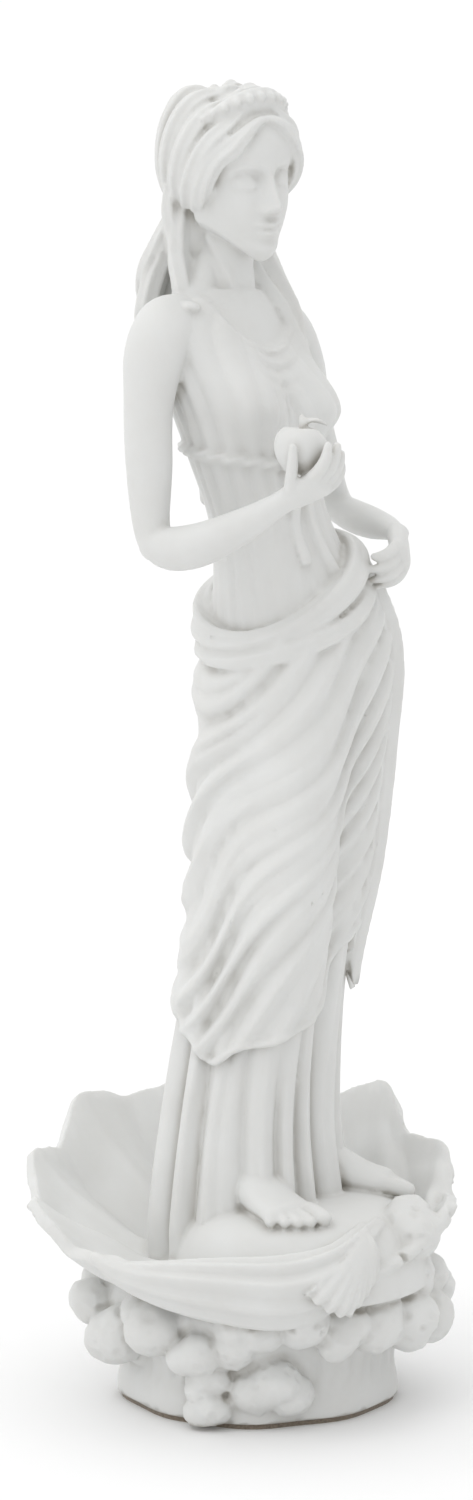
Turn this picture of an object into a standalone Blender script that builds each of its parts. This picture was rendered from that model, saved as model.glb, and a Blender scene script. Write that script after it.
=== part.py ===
"""A cast-marble statuette of a draped goddess standing in a scallop shell on a foam-topped rock.

Metres, +Z up. The goddess faces -Y. The origin is the middle of the felt pad's underside.
"""

import math

import bmesh
import bpy
import numpy as np
from mathutils import Matrix, Vector

# Driving dimensions
FIGURE_HEIGHT = 0.246
FIGURE_SET_BACK = 0.002
SOLE_HEIGHT = 0.0450
PAD_THICKNESS = 0.0010
PAD_INSET = 0.0008
PAD_GAP = 0.0003
PEDESTAL_RADIUS_X = 0.0314
PEDESTAL_RADIUS_Y = 0.0308
SHELL_RADIUS = 0.0475
SHELL_WALL = 0.0030
SHELL_SET_BACK = 0.0060
SHELL_FLOOR = 0.0285
SHELL_RIM = 0.0470
SHELL_RIM_RISE = 0.0120
SHELL_RISE_BEARING = math.radians(45)
SHELL_RIBS = 11
SHELL_RIB_HEIGHT = 0.0019
SHELL_GROWTH = 0.0003
MOUND_RADIUS = 0.0295
MOUND_HEIGHT = 0.0178
MOUND_FORWARD = 0.0115

# Fineness of the faceted casting
CAST_VOXEL = 0.0010
CAST_SHARE = 0.045
HEAD_FROM = 0.2580
HEAD_SPARED = 0.004
MM = 0.001

# The figure's own tables are in millimetres of a goddess 250 mm tall, from her soles up
FIGURE_TABLE_HEIGHT = 250.0
FIGURE_MM = FIGURE_HEIGHT / FIGURE_TABLE_HEIGHT
CHIN = 215.0
HEAD_AXIS = (-0.5, 1.5)
HEAD_TURN = math.radians(-12)
HEAD_NOD = math.radians(6)
HEAD_TILT = math.radians(-4)


def spline(keys, count):
    """Rows read at even steps along a smooth curve through the key rows."""
    keys = np.asarray(keys, float)
    last = len(keys) - 1
    at = np.linspace(0, last, count)
    start = np.clip(at.astype(int), 0, last - 1)
    t = (at - start)[:, None]
    before = keys[np.maximum(start - 1, 0)]
    a = keys[start]
    b = keys[start + 1]
    after = keys[np.minimum(start + 2, last)]
    return 0.5 * (
        2 * a
        + (b - before) * t
        + (2 * before - 5 * a + 4 * b - after) * t**2
        + (3 * a - before - 3 * b + after) * t**3
    )


def bump(x, z, width, height):
    """A smooth hill of height 1 at the origin."""
    return np.exp(-((x / width) ** 2) - (z / height) ** 2)


def ease(x, low, high):
    """0 below low, 1 above high, and a smooth step between."""
    t = np.clip((x - low) / (high - low), 0, 1)
    return t * t * (3 - 2 * t)


def unit(rows):
    return rows / np.linalg.norm(rows, axis=-1, keepdims=True)


def loft(rings):
    """A closed form through rings of points, its two ends closed with fans."""
    rings = np.asarray(rings, float)
    count, sides = rings.shape[:2]
    form = bmesh.new()
    rows = [[form.verts.new(point) for point in ring] for ring in rings]
    for row, following in zip(rows, rows[1:]):
        for i in range(sides):
            j = (i + 1) % sides
            form.faces.new((row[i], row[j], following[j], following[i]))
    for row, ring, turned in ((rows[0], rings[0], True), (rows[-1], rings[-1], False)):
        middle = form.verts.new(ring.mean(axis=0))
        for i in range(sides):
            j = (i + 1) % sides
            form.faces.new((row[j], row[i], middle) if turned else (row[i], row[j], middle))
    bmesh.ops.recalc_face_normals(form, faces=form.faces)
    return form


def sweep(keys, across, count=24, sides=16, flutes=0, flute_depth=0.0, twist=0.0):
    """A limb or lock: rows of (x, y, z, half width, half thickness) joined smoothly, with round ends.

    The width lies along the direction given by across, as nearly as the path allows."""
    rows = spline(keys, count)
    tangent = unit(np.gradient(rows[:, :3], axis=0))
    cap = np.radians([88, 60, 30])
    lead, tail = rows[[0] * len(cap)].copy(), rows[[-1] * len(cap)].copy()
    for end, toward, order in ((lead, -tangent[0], cap), (tail, tangent[-1], cap[::-1])):
        end[:, :3] += toward * (end[:, 4] * np.sin(order))[:, None]
        end[:, 3:5] *= np.cos(order)[:, None]
    rows = np.vstack([lead, rows, tail])
    tangent = np.vstack([[tangent[0]] * len(cap), tangent, [tangent[-1]] * len(cap)])
    side = np.asarray(across, float)
    side = unit(side - (tangent @ side)[:, None] * tangent)
    other = np.cross(tangent, side)
    angle = np.linspace(0, 2 * np.pi, sides, endpoint=False)
    turn = twist * np.linspace(0, 1, len(rows))[:, None]
    swell = 1 + flute_depth * np.cos(flutes * angle[None, :] + turn)
    wide = rows[:, 3:4] * np.cos(angle) * swell
    deep = rows[:, 4:5] * np.sin(angle) * swell
    return loft(
        rows[:, None, :3] + wide[..., None] * side[:, None] + deep[..., None] * other[:, None]
    )


def ball(centre, radii, turn=0.0):
    """An ellipsoid, turned about the vertical."""
    form = bmesh.new()
    place = (
        Matrix.Translation(centre)
        @ Matrix.Rotation(turn, 4, "Z")
        @ Matrix.Diagonal((*radii, 1))
    )
    bmesh.ops.create_uvsphere(form, u_segments=20, v_segments=14, radius=1, matrix=place)
    return form


def moved(form, matrix):
    bmesh.ops.transform(form, matrix=matrix, verts=form.verts)
    return form


def body_ring(theta, centre_x, centre_y, half_width, front, back):
    """Points of an oval section. theta is 0 at the front and grows towards her left."""
    depth = np.where(np.cos(theta) > 0, front, back)
    return centre_x + half_width * np.sin(theta), centre_y - depth * np.cos(theta)


# Rows of height, centre x, centre y, half width, half depth in front, half depth behind
TRUNK = (
    (110, 2.5, -2.0, 21.0, 13.5, 14.5),
    (122, 3.0, -2.5, 22.0, 13.8, 15.5),
    (134, 2.8, -2.0, 20.2, 13.0, 14.0),
    (146, 1.5, -1.0, 16.6, 11.3, 10.5),
    (156, 0.5, 0.0, 15.0, 10.5, 9.4),
    (168, -0.5, 0.5, 16.4, 11.5, 10.4),
    (180, -1.0, 0.5, 19.0, 11.5, 12.0),
    (190, -1.0, 1.5, 21.0, 10.0, 12.0),
    (197, -1.0, 2.5, 21.5, 8.6, 10.0),
    (202, -1.0, 3.0, 16.0, 7.8, 8.8),
    (206, -1.0, 3.2, 9.5, 7.0, 7.5),
)
SKIRT = (
    (-13, 1.0, 1.0, 23.6, 19.0, 21.6),
    (-5, 1.0, 1.0, 23.6, 18.6, 21.4),
    (4, 1.0, 1.0, 22.6, 17.5, 20.0),
    (20, 1.0, 1.0, 21.0, 15.5, 17.5),
    (45, 1.0, 0.0, 20.0, 14.0, 15.5),
    (72, 1.5, -1.0, 20.2, 13.6, 14.8),
    (98, 2.2, -1.5, 21.6, 14.0, 15.0),
    (120, 3.0, -2.5, 22.4, 14.2, 15.8),
    (134, 2.8, -2.0, 20.6, 13.4, 14.4),
    (148, 1.5, -1.0, 17.0, 11.8, 11.0),
    (158, 0.5, 0.0, 15.6, 11.0, 10.0),
    (171, -0.7, 0.5, 17.4, 12.2, 11.0),
)
# Height, and how far the free leg pushes the cloth forwards there
PRESS = (
    (-12, 1.0),
    (6, 2.4),
    (28, 5.0),
    (48, 9.0),
    (66, 12.6),
    (82, 11.8),
    (102, 7.6),
    (122, 2.6),
    (142, 0),
)
KNEE_SIDE = -0.56
SKIRT_FOLDS = 15


def leg_press(theta, z):
    """How far the legs and the hips push the cloth outwards, and how it sinks between them."""
    knee = table(PRESS, z) * np.exp(-(((theta - KNEE_SIDE) / 0.44) ** 2))
    thigh = 3.0 * np.exp(-(((theta - 0.55) / 0.36) ** 2) - ((z - 82) / 34) ** 2)
    hollow = -2.4 * np.exp(-(((theta - 0.06) / 0.15) ** 2) - ((z - 72) / 34) ** 2)
    behind = np.minimum(np.abs(theta), 2 * np.pi - np.abs(theta))
    seat = 2.2 * np.exp(-(((behind - 2.66) / 0.34) ** 2) - ((z - 118) / 13) ** 2)
    return knee + thigh + hollow + seat


def ridges(phase, sharpness=0.75):
    """Round ridges with narrow valleys between them, from -0.5 to 0.5."""
    return np.abs(np.cos(phase / 2)) ** sharpness - 0.5


def skirt_fold(theta, z):
    """How far the hanging cloth stands out at a height, pressed flat where the mantle covers it."""
    phase = (
        SKIRT_FOLDS * theta
        + 1.9 * np.sin(2 * theta + 0.7)
        + 1.2 * np.sin(5 * theta + 1.9)
        + 0.6 * np.sin(z / 17 + 3 * theta)
    )
    hem = mantle_edge(theta, 1)
    covered = ease(z, hem + 2, hem + 14)
    depth = 0.5 + 3.6 * ease(-z, -112, 4) * (1 + 0.4 * np.sin(3 * theta + 1)) * (1 - 0.85 * covered)
    crinkle = 0.5 * ridges(2.6 * phase + 1.5 * np.sin(z / 11)) * (1 + 0.5 * np.sin(4 * theta))
    tight = np.exp(-(((theta - KNEE_SIDE) / 0.42) ** 2)) * ease(z, 12, 60)
    return (ridges(phase) * depth + crinkle) * (1 - 0.9 * tight) + leg_press(theta, z)


def stack(keys, count, sides, fold):
    """A standing form of oval sections, its surface moved outwards by fold(theta, z)."""
    rows = spline(keys, count)
    theta = np.linspace(-np.pi, np.pi, sides, endpoint=False)[None, :]
    z = rows[:, :1] + 0 * theta
    x, y = body_ring(theta, *(rows[:, i : i + 1] for i in range(1, 6)))
    out = fold(theta, z)
    return loft(np.stack([x + out * np.sin(theta), y - out * np.cos(theta), z], axis=-1))


def at_height(keys, z):
    """The key rows of a stack read at any heights."""
    keys = np.asarray(spline(keys, 8 * len(keys)))
    return [np.interp(z, keys[:, 0], keys[:, i]) for i in range(1, 6)]


def neckline(theta):
    """Height of the dress's upper edge: a scoop in front and a lower one behind."""
    behind = np.abs(np.abs(theta) - np.pi)
    return 205 - 11.5 * np.exp(-((theta / 0.62) ** 2)) - 12 * np.exp(-((behind / 0.9) ** 2))


def bodice_fold(theta, z):
    """The bust, pleats that run up to the shoulders, and folds that hang below the neckline."""
    side = np.abs(theta) - 0.52
    below = np.where(z > 180.5, 10.5, 6.8)
    bust = 6.6 * np.exp(-((side / 0.36) ** 2) - ((z - 180.5) / below) ** 2)
    blades = 1.3 * np.exp(-(((np.abs(theta) - 2.55) / 0.35) ** 2) - ((z - 187) / 9) ** 2)
    depth = neckline(theta) - z
    clothed = ease(depth, -0.3, 0.5)
    gather = theta + 0.42 * (np.sign(theta) * 0.95 - theta) * ease(z, 172, 204)
    pleats = 1.05 * ridges(25 * gather + 2.2 * np.sin(3 * theta)) * (0.55 + 0.45 * ease(z, 150, 172))
    cowl = 1.3 * ridges(2 * np.pi * depth / 3.4) * np.exp(-((theta / 0.42) ** 2) - ((depth - 4) / 6) ** 2)
    hem = 0.55 * np.exp(-(((depth - 0.9) / 0.8) ** 2))
    calm = 1 - 0.75 * np.exp(-((theta / 0.4) ** 2)) * ease(z, 180, 188)
    return bust + blades + clothed * (0.8 + pleats * calm + cowl + hem)


def girdle_height(theta):
    return 169.5 - 1.5 * np.cos(theta)


def trunk():
    """Body and bodice, with the girdle tied under the bust in a small bow."""
    forms = [stack(TRUNK, 120, 220, bodice_fold)]
    theta = np.linspace(-np.pi, np.pi, 49)
    height = girdle_height(theta)
    x, y = body_ring(theta, *at_height(SKIRT, height))
    band = np.stack([x, y, height, 1.35 + 0 * theta, 2.3 + 0 * theta], axis=-1)
    forms.append(sweep(band, (0.02, 0.01, 1), 140, 20, flutes=3, flute_depth=0.2, twist=150))
    forms.append(ball((-1, -13.4, 168), (2.3, 1.6, 2.0)))
    for side in (-1, 1):
        loop = (
            (-1, -13.6, 168, 0.9, 0.8),
            (-1 + 3.2 * side, -14.4, 169.6, 1.5, 0.9),
            (-1 + 5.6 * side, -13.6, 168.2, 1.6, 0.9),
            (-1 + 3.0 * side, -14.0, 166.8, 1.2, 0.8),
        )
        forms += [sweep(loop, (0, 0, 1), 24, 12), ribbon(side)]
        forms.append(ball((-1 + 17.0 * side, -0.8, 201.9), (2.4, 2.6, 1.3)))
    return forms


def ribbon(side):
    """A hanging end of the bow: flat, a little waved, lying on her belly."""
    t = np.linspace(0, 1, 9)
    theta = side * (0.04 + 0.2 * t) + 0.04 * np.sin(7 * t) - 0.06
    height = 167.5 - (24 + 3 * side) * t
    x, y = body_ring(theta, *at_height(TRUNK, height))
    out = 1.5 + 0.2 * np.sin(9 * t + side)
    place = [x + out * np.sin(theta), y - out * np.cos(theta), height]
    return sweep(np.stack([*place, 0.9 + 0.9 * t, 1.0 + 0 * t], axis=-1), (1, 0, 0), 40, 16)


def collar():
    """Collar bones, the two cords of the neck between them, and the slopes of the shoulders."""
    forms = []
    for side in (-1, 1):
        bone = (
            (-1 + 1.8 * side, -3.9, 201.9, 0.9, 0.9),
            (-1 + 7 * side, -3.2, 202.4, 1.0, 0.9),
            (-1 + 13 * side, -1.2, 201.9, 1.1, 0.9),
            (-1 + 18 * side, 1.2, 200.5, 1.0, 0.9),
        )
        cord = (
            (-1 + 1.4 * side, -2.6, 202.5, 1.2, 1.0),
            (-1 + 3.0 * side, -1.0, 209.0, 1.9, 1.6),
            (-1 + 4.6 * side, 2.4, 218.0, 2.0, 1.8),
        )
        slope = (
            (-1 + 2.6 * side, 4.5, 214.0, 3.4, 3.2),
            (-1 + 7.0 * side, 4.4, 206.0, 4.2, 3.6),
            (-1 + 14.0 * side, 4.0, 200.6, 4.6, 3.6),
            (-1 + 20.0 * side, 3.6, 197.5, 4.0, 3.6),
        )
        forms += [sweep(bone, (0, 0, 1), 24, 12), sweep(cord, (1, 0, 0), 24, 16)]
        forms.append(sweep(slope, (0, 1, 0), 30, 24))
    return forms


# Bearing of the gathered cloth at her left hip, and the mantle's least height over the skirt's folds
MANTLE_GRIP = 0.95
MANTLE_CLEAR = 1.5


def mantle_edge(theta, s):
    """Height of the mantle from its rolled top edge, s = 0, to its hem, s = 1."""
    top = 139 + 9 * np.sin(theta - 0.1)
    hem = 60 - 23 * np.cos(theta + 1.2) + 1.5 * np.sin(6 * theta) + 0.7 * np.sin(11 * theta)
    return top + (hem - top) * s


def mantle_fold(theta, z):
    """Folds that fall slantwise round her from the gathered cloth at her left hip."""
    round_share = ((MANTLE_GRIP - theta) / (2 * np.pi)) % 1
    hang = np.sin(np.pi * round_share**1.4)
    spacing = 7.0 + 7.5 * hang
    warp = 1.5 * np.sin(z / 12 + 2 * theta) + 1.0 * np.sin(3 * theta - z / 9 + 0.6)
    phase = 2 * np.pi * (z - 141 + 58 * hang) / spacing + warp
    blend = 0.5 + 0.5 * np.sin(2 * theta + z / 17 + 1.0)
    strength = 0.8 + 0.3 * np.sin(z / 13 - 3 * theta)
    broad = ridges(phase + 0.4 * np.sin(phase), 0.7)
    narrow = ridges(1.7 * phase + 0.8 * np.sin(z / 8 - 2 * theta))
    fold = 4.2 * strength * (blend * broad + 0.42 * (1 - blend) * (broad + narrow))
    crinkle = 0.32 * ridges(3.3 * phase + 2 * np.sin(3 * theta))
    thigh = np.exp(-(((theta - KNEE_SIDE) / 0.36) ** 2) - ((z - 84) / 26) ** 2)
    calm = 1 - 0.7 * thigh
    return (fold * ease(-z, -142, -128) + crinkle) * calm + leg_press(theta, z)


def on_cloth(theta, z, out):
    """Points that stand out from the skirt's plain surface."""
    x, y = body_ring(theta, *at_height(SKIRT, z))
    return x + out * np.sin(theta), y - out * np.cos(theta)


def over_skirt(theta, z, out):
    """Points that stand out from the skirt's plain surface and clear its folds too."""
    return on_cloth(theta, z, np.maximum(out, skirt_fold(theta, z) + MANTLE_CLEAR))


def mantle():
    """The cloak wrapped round her hips, with its rolled edge."""
    theta = np.linspace(-np.pi, np.pi, 300, endpoint=False)[None, :]
    z = mantle_edge(theta, np.linspace(0, 1, 150)[:, None])
    x, y = over_skirt(theta, z, 2.1 + mantle_fold(theta, z))
    wrap = loft(np.stack([x, y, z], axis=-1))
    edge = mantle_edge(theta[0], 1)
    x, y = over_skirt(theta[0], edge, 1.9 + mantle_fold(theta[0], edge))
    border = np.stack([x, y, edge, 0.95 + 0 * x, 0.8 + 0 * x], axis=-1)
    forms = [wrap, sweep(np.vstack([border, border[:1]]), (0.02, 0.01, 1), 420, 10)]
    around = np.linspace(-np.pi, np.pi, 61)
    for rise, out, thick in ((0.0, 1.9, 3.2), (-4.6, 2.6, 2.2)):
        height = mantle_edge(around, 0) + rise * (1 + 0.35 * np.sin(2 * around + 1))
        x, y = on_cloth(around, height, out)
        size = thick * (1 + 0.2 * np.sin(around * 2 + 0.5 + rise))
        roll = np.stack([x, y, height, size, size * 0.85], axis=-1)
        forms.append(sweep(roll, (0.02, 0.01, 1), 160, 36, flutes=5, flute_depth=0.13, twist=20))
    return forms


# Where the hanging end starts and stops round her, how many pleats it has, and its lowest height
CASCADE_FROM = 0.58
CASCADE_TO = 1.62
CASCADE_PLEATS = 4
CASCADE_LOW = 47.0


def cascade():
    """The mantle's free end, hanging in stacked pleats from the hand at her left hip."""
    u = np.linspace(0, 1, 161)[None, :]
    s = np.linspace(0, 1, 80)[:, None]
    spread = 0.6 + 0.4 * ease(s, 0, 0.6)
    middle = (CASCADE_FROM + CASCADE_TO) / 2
    theta = middle + (CASCADE_FROM + (CASCADE_TO - CASCADE_FROM) * u - middle) * spread
    turn = 2 * np.pi * CASCADE_PLEATS * u + 0.5 * np.sin(3 * s)
    theta = theta + 0.03 * np.sin(turn) * ease(s, 0, 0.5)
    hem = CASCADE_LOW + 3.2 * np.arcsin(0.85 * np.sin(turn - 0.6)) + 14 * (1.9 * u - 0.85) ** 2
    z = 147 + (hem - 147) * s
    swell = np.sin(np.pi * np.clip(u, 0.02, 0.98)) ** 0.3
    fold = 2.5 * np.arcsin(0.97 * np.cos(turn)) / (np.pi / 2) + 0.3 * np.cos(3 * turn)
    hang = 1 - 0.3 * ease(s, 0.7, 1)
    out = leg_press(theta, z) + (5.2 + fold * ease(s, -0.1, 0.35)) * swell * hang
    outer = np.stack([*on_cloth(theta, z, out), z], axis=-1)
    inner = np.stack([*on_cloth(theta, z, 0.5 + leg_press(theta, z)), z], axis=-1)
    return [loft(np.concatenate([outer, inner[:, ::-1]], axis=1))]


# Rows of x, y, height, half width and half depth, from inside the shoulder to the wrist
RIGHT_ARM = (
    (-13, 3.0, 199, 4.6, 5.2),
    (-20.5, 3.4, 197.6, 5.8, 6.6),
    (-25.4, 4.4, 190, 5.7, 6.7),
    (-27.6, 5.6, 180, 4.8, 5.6),
    (-29.0, 6.6, 168, 4.7, 5.3),
    (-30.2, 7.4, 157, 3.9, 4.4),
    (-30.6, 6.2, 151.6, 4.0, 4.0),
    (-30.3, 1.6, 150.6, 4.2, 4.5),
    (-28.6, -6, 152.2, 4.6, 4.3),
    (-25.6, -15, 156.2, 3.6, 3.4),
    (-22.8, -21.6, 160, 2.8, 2.5),
    (-21.3, -25, 162, 2.9, 2.3),
)
LEFT_ARM = (
    (11, 3.0, 199, 4.6, 5.2),
    (18.5, 3.4, 197.6, 5.8, 6.6),
    (23.8, 4.6, 190, 5.7, 6.7),
    (27.2, 6.0, 180, 4.8, 5.6),
    (30.4, 7.4, 169, 4.7, 5.3),
    (33.6, 8.4, 159, 3.9, 4.4),
    (34.6, 7.0, 154, 4.0, 4.0),
    (34.2, 2.6, 152, 4.2, 4.4),
    (32.6, -3.4, 151, 4.4, 4.2),
    (30.4, -9.4, 150.6, 3.5, 3.3),
    (28.4, -13, 150.2, 2.8, 2.5),
    (27.5, -15, 150, 2.9, 2.3),
)


def hand(wrist, forward, palm_normal, curl, thumb_side):
    """A palm with four fingers and a thumb. curl is how far each finger joint bends."""
    forward = unit(np.asarray(forward, float))
    normal = np.asarray(palm_normal, float)
    normal = unit(normal - (normal @ forward) * forward)
    across = np.cross(forward, normal) * thumb_side
    wrist = np.asarray(wrist, float)
    palm = [
        (*(wrist + forward * along), wide, thick)
        for along, wide, thick in ((0, 3.0, 2.3), (4, 4.2, 2.3), (8.5, 4.7, 2.1))
    ]
    forms = [sweep(palm, across, count=10)]
    for i, length in enumerate((8.6, 9.6, 9.0, 7.2)):
        spot = wrist + forward * (8.8 - 0.25 * abs(i - 1)) + across * (3.45 - 2.3 * i)
        heading = forward + across * (0.12 - 0.08 * i)
        forms.append(finger(spot, heading, normal, length, curl))
    spot = wrist + forward * 2.8 + across * 3.6
    heading = forward * 0.72 + across * 0.5 + normal * 0.45
    forms.append(finger(spot, heading, normal, 8.4, curl * 0.4))
    return forms


def finger(spot, heading, normal, length, curl):
    """Three phalanges that bend towards the palm's normal."""
    heading = unit(heading)
    angle = 0.0
    points = [(*spot, 1.35, 1.35)]
    for share, radius in ((0.42, 1.3), (0.32, 1.2), (0.26, 0.95)):
        angle += curl
        step = heading * math.cos(angle) + normal * math.sin(angle)
        spot = spot + step * length * share
        points.append((*spot, radius, radius))
    return sweep(points, np.cross(heading, normal), count=10, sides=10)


def arms():
    """Both arms, the apple in her right hand, and her left hand holding the mantle."""
    forms = [sweep(keys, (1, 0.2, 0), 80, 32) for keys in (RIGHT_ARM, LEFT_ARM)]
    forms += hand(RIGHT_ARM[-1][:3], (0.38, -0.8, 0.42), (0.3, 0.3, 0.9), 0.3, 1)
    forms += apple((-16.6, -27.6, 172.2), 6.1)
    forms += hand(LEFT_ARM[-1][:3], (-0.6, -0.5, -0.5), (-0.6, 0.75, -0.2), 0.5, 1)
    for keys in (RIGHT_ARM, LEFT_ARM):
        elbow = keys[6]
        forms.append(ball((elbow[0], elbow[1] + 1.4, elbow[2] - 0.9), (3.1, 2.9, 3.1)))
    return forms


def apple(centre, radius):
    """A round fruit, dimpled above and below, with its stalk and a leaf."""
    rings = []
    round_fruit = np.linspace(0, 2 * np.pi, 48, endpoint=False)
    for rise in np.radians(np.linspace(-86, 86, 36)):
        lobes = 1 + 0.025 * np.cos(5 * round_fruit) * np.cos(rise)
        out = radius * math.cos(rise) ** 0.85 * lobes
        dimple = 0.34 * math.exp(-((math.cos(rise) / 0.3) ** 2))
        height = radius * math.sin(rise) * (0.93 - dimple)
        x, y = out * np.cos(round_fruit), out * np.sin(round_fruit)
        rings.append(np.stack([x, y, height + 0 * x], axis=-1))
    fruit = loft(np.array(rings) + centre)
    x, y, z = centre
    stalk = [(x + 0.45 * i, y, z + 3.2 + 1.3 * i, 0.5 + 0.06 * i, 0.5 + 0.06 * i) for i in range(4)]
    leaf = (
        (x + 0.4, y - 0.2, z + 4.8, 0.4, 0.4),
        (x + 2.0, y - 1.0, z + 6.4, 1.5, 0.5),
        (x + 4.2, y - 2.0, z + 6.5, 1.4, 0.5),
        (x + 6.2, y - 2.8, z + 5.6, 0.3, 0.35),
    )
    return [fruit, sweep(stalk, (1, 0, 0), 12, 10), sweep(leaf, (0.4, 0.9, 0), 20, 14)]


# How far each toe reaches from the heel, and its half thickness, from the great toe outwards
TOES = ((35.0, 1.9), (34.6, 1.45), (33.2, 1.35), (31.4, 1.3), (29.2, 1.25))


def foot(heel, heading, side):
    """A bare foot. side is -1 for her right foot and 1 for her left."""
    heading = unit(np.asarray(heading, float))
    across = np.cross(heading, (0, 0, 1.0)) * -side
    heel = np.asarray(heel, float)
    rows = []
    for along, height, wide, thick in (
        (0, 4.0, 4.0, 4.2),
        (7, 6.5, 4.8, 6.5),
        (15, 5.6, 5.4, 5.4),
        (23, 3.4, 6.4, 3.4),
        (28, 2.6, 6.6, 2.6),
    ):
        rows.append((*(heel + heading * along + (0, 0, height)), wide, thick))
    forms = [sweep(rows, across, count=18, sides=18)]
    for i, (reach, radius) in enumerate(TOES):
        offset = across * (-4.7 + (3.4 if i else 0) + 2.35 * max(i - 1, 0))
        start = heel + heading * 26 + offset * 0.92 + (0, 0, 2.4)
        end = heel + heading * reach + offset + (0, 0, radius)
        middle = (start + end) / 2 + (0, 0, 0.5)
        toe = [(*point, radius, radius) for point in (start, middle, end)]
        forms.append(sweep(toe, across, count=8, sides=10))
    return forms


def feet():
    return foot((-8.5, 4, 0), (-0.25, -0.97, 0), -1) + foot((8.5, 4, 0), (0.42, -0.9, 0), 1)


# The face, in millimetres of a head 35 mm high: x across, z up from the chin, depth forwards
FACE_WIDTH = (
    (-1, 4.0),
    (0, 5.4),
    (2, 7.2),
    (5, 8.9),
    (9, 10.3),
    (14, 11.3),
    (18, 11.6),
    (24, 11.8),
    (29, 11.2),
    (32, 10.3),
)
FACE_DEPTH = (
    (-1, 11.6),
    (0, 12.9),
    (2, 14.0),
    (4, 13.7),
    (7, 14.3),
    (10, 14.5),
    (14, 14.0),
    (18, 13.9),
    (21, 14.6),
    (25, 14.5),
    (29, 12.7),
    (32, 10.4),
)
NOSE_HEIGHT = (
    (9.8, 0),
    (10.5, 1.7),
    (11.7, 3.9),
    (13, 3.6),
    (16, 2.3),
    (18.6, 1.2),
    (20.6, 0.3),
    (22, 0),
)
NOSE_WIDTH = ((9.8, 1.8), (11.6, 1.9), (14, 1.5), (18, 1.35), (21, 2.0))
JAW_ROUND = 2.2


def table(pairs, z):
    """A smooth reading of (height, value) pairs."""
    keys = spline(pairs, 12 * len(pairs))
    return np.interp(z, keys[:, 0], keys[:, 1])


def face_relief(x, z):
    """How far the features stand forward of the plain mask."""
    a = np.abs(x)
    nose = table(NOSE_HEIGHT, z) * np.exp(-((a / table(NOSE_WIDTH, z)) ** 2))
    wings = 1.15 * bump(a - 2.1, z - 11.0, 0.8, 0.95)
    socket = -1.7 * bump(a - 4.8, z - 18.0, 3.0, 2.1) - 0.8 * bump(a - 2.7, z - 18.3, 1.1, 1.6)
    eye = ((a - 4.9) / 2.8) ** 2 + ((z - 17.3) / 1.75) ** 2
    eyeball = 1.7 * np.sqrt(np.clip(1 - eye, 0, 1))
    lid = -0.34 * np.exp(-(((z - 16.6 - 0.06 * (a - 4.9) ** 2) / 0.24) ** 2)) * ease(1 - eye, 0, 0.3)
    crease = -0.3 * np.exp(-(((z - 19.2 + 0.07 * (a - 4.9) ** 2) / 0.28) ** 2))
    crease = crease * ease(3.4 - np.abs(a - 4.9), 0, 1)
    brow = 0.5 * bump(a - 5.0, z - 20.7 + 0.05 * (a - 4.5) ** 2, 3.4, 0.9)
    upper_lip = 1.05 * np.exp(-(((z - 7.8) / 0.75) ** 2)) * np.clip(1 - (x / 3.8) ** 2, 0, 1)
    dip = -0.3 * bump(x, z - 8.6, 0.7, 0.7)
    lower_lip = 1.25 * np.exp(-(((z - 5.8) / 0.9) ** 2)) * np.clip(1 - (x / 3.1) ** 2, 0, 1)
    mouth = -0.85 * np.exp(-(((z - 6.85 - 0.02 * x**2) / 0.3) ** 2)) * ease(-a, -4.1, -3.0)
    chin = 0.9 * bump(x, z - 1.9, 2.9, 1.9)
    cheek = 0.7 * bump(a - 6.3, z - 12.5, 2.8, 3.0)
    eyes = socket + eyeball + lid + crease + brow
    return nose + wings + eyes + upper_lip + dip + lower_lip + mouth + chin + cheek


def face(columns, rows):
    """The mask from the chin to the hairline, as rings that close behind it inside the head."""
    across = np.sin(np.linspace(-1, 1, columns) * np.pi / 2)
    share = np.linspace(0, 1, rows)[:, None]
    low = -0.6 + 8.5 * np.abs(across) ** 2.4
    z = low + (32 - low) * share
    x = across * table(FACE_WIDTH, z)
    round_off = np.clip(1 - across**2, 0, 1) ** 0.44
    depth = (table(FACE_DEPTH, z) + face_relief(x, z)) * round_off
    front = np.stack([x, -depth, z], axis=-1)
    back = np.stack([x * 0.9, 3 * round_off + 0 * x, z], axis=-1)
    rings = np.concatenate([front, back[:, ::-1]], axis=1)
    middle = rings[0].mean(axis=0)
    under = [
        middle + (rings[0] - middle) * math.cos(turn) - (0, 0, JAW_ROUND * math.sin(turn))
        for turn in np.radians((75, 55, 38, 22, 10))
    ]
    return loft(np.concatenate([under, rings]))


LOCKS_EACH_SIDE = 7
SKULL_CENTRE = np.array((0, 0.7, 20.3))
SKULL_RADII = np.array((12.2, 15.4, 14.8))


def hair_cap():
    """The hair's mass over the skull, combed in fine strands from the crown."""
    rings = []
    around = np.linspace(-np.pi, np.pi, 240, endpoint=False)
    for fall in np.radians(np.linspace(2, 150, 60)):
        strands = ridges(30 * around + 5 * np.sin(3 * around) + 3.0 * fall + 1.6 * np.sin(5 * fall))
        brow = ease(np.cos(around), -0.25, 0.25) * ease(fall, 0.5, 0.9)
        out = 1 + 0.055 * strands * math.sin(fall) * (1 - brow) - 0.1 * brow
        heading = np.stack(
            [
                math.sin(fall) * np.sin(around),
                -math.sin(fall) * np.cos(around),
                math.cos(fall) + 0 * around,
            ],
            axis=-1,
        )
        rings.append(SKULL_CENTRE + heading * SKULL_RADII * out[:, None])
    return [loft(rings)]


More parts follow.
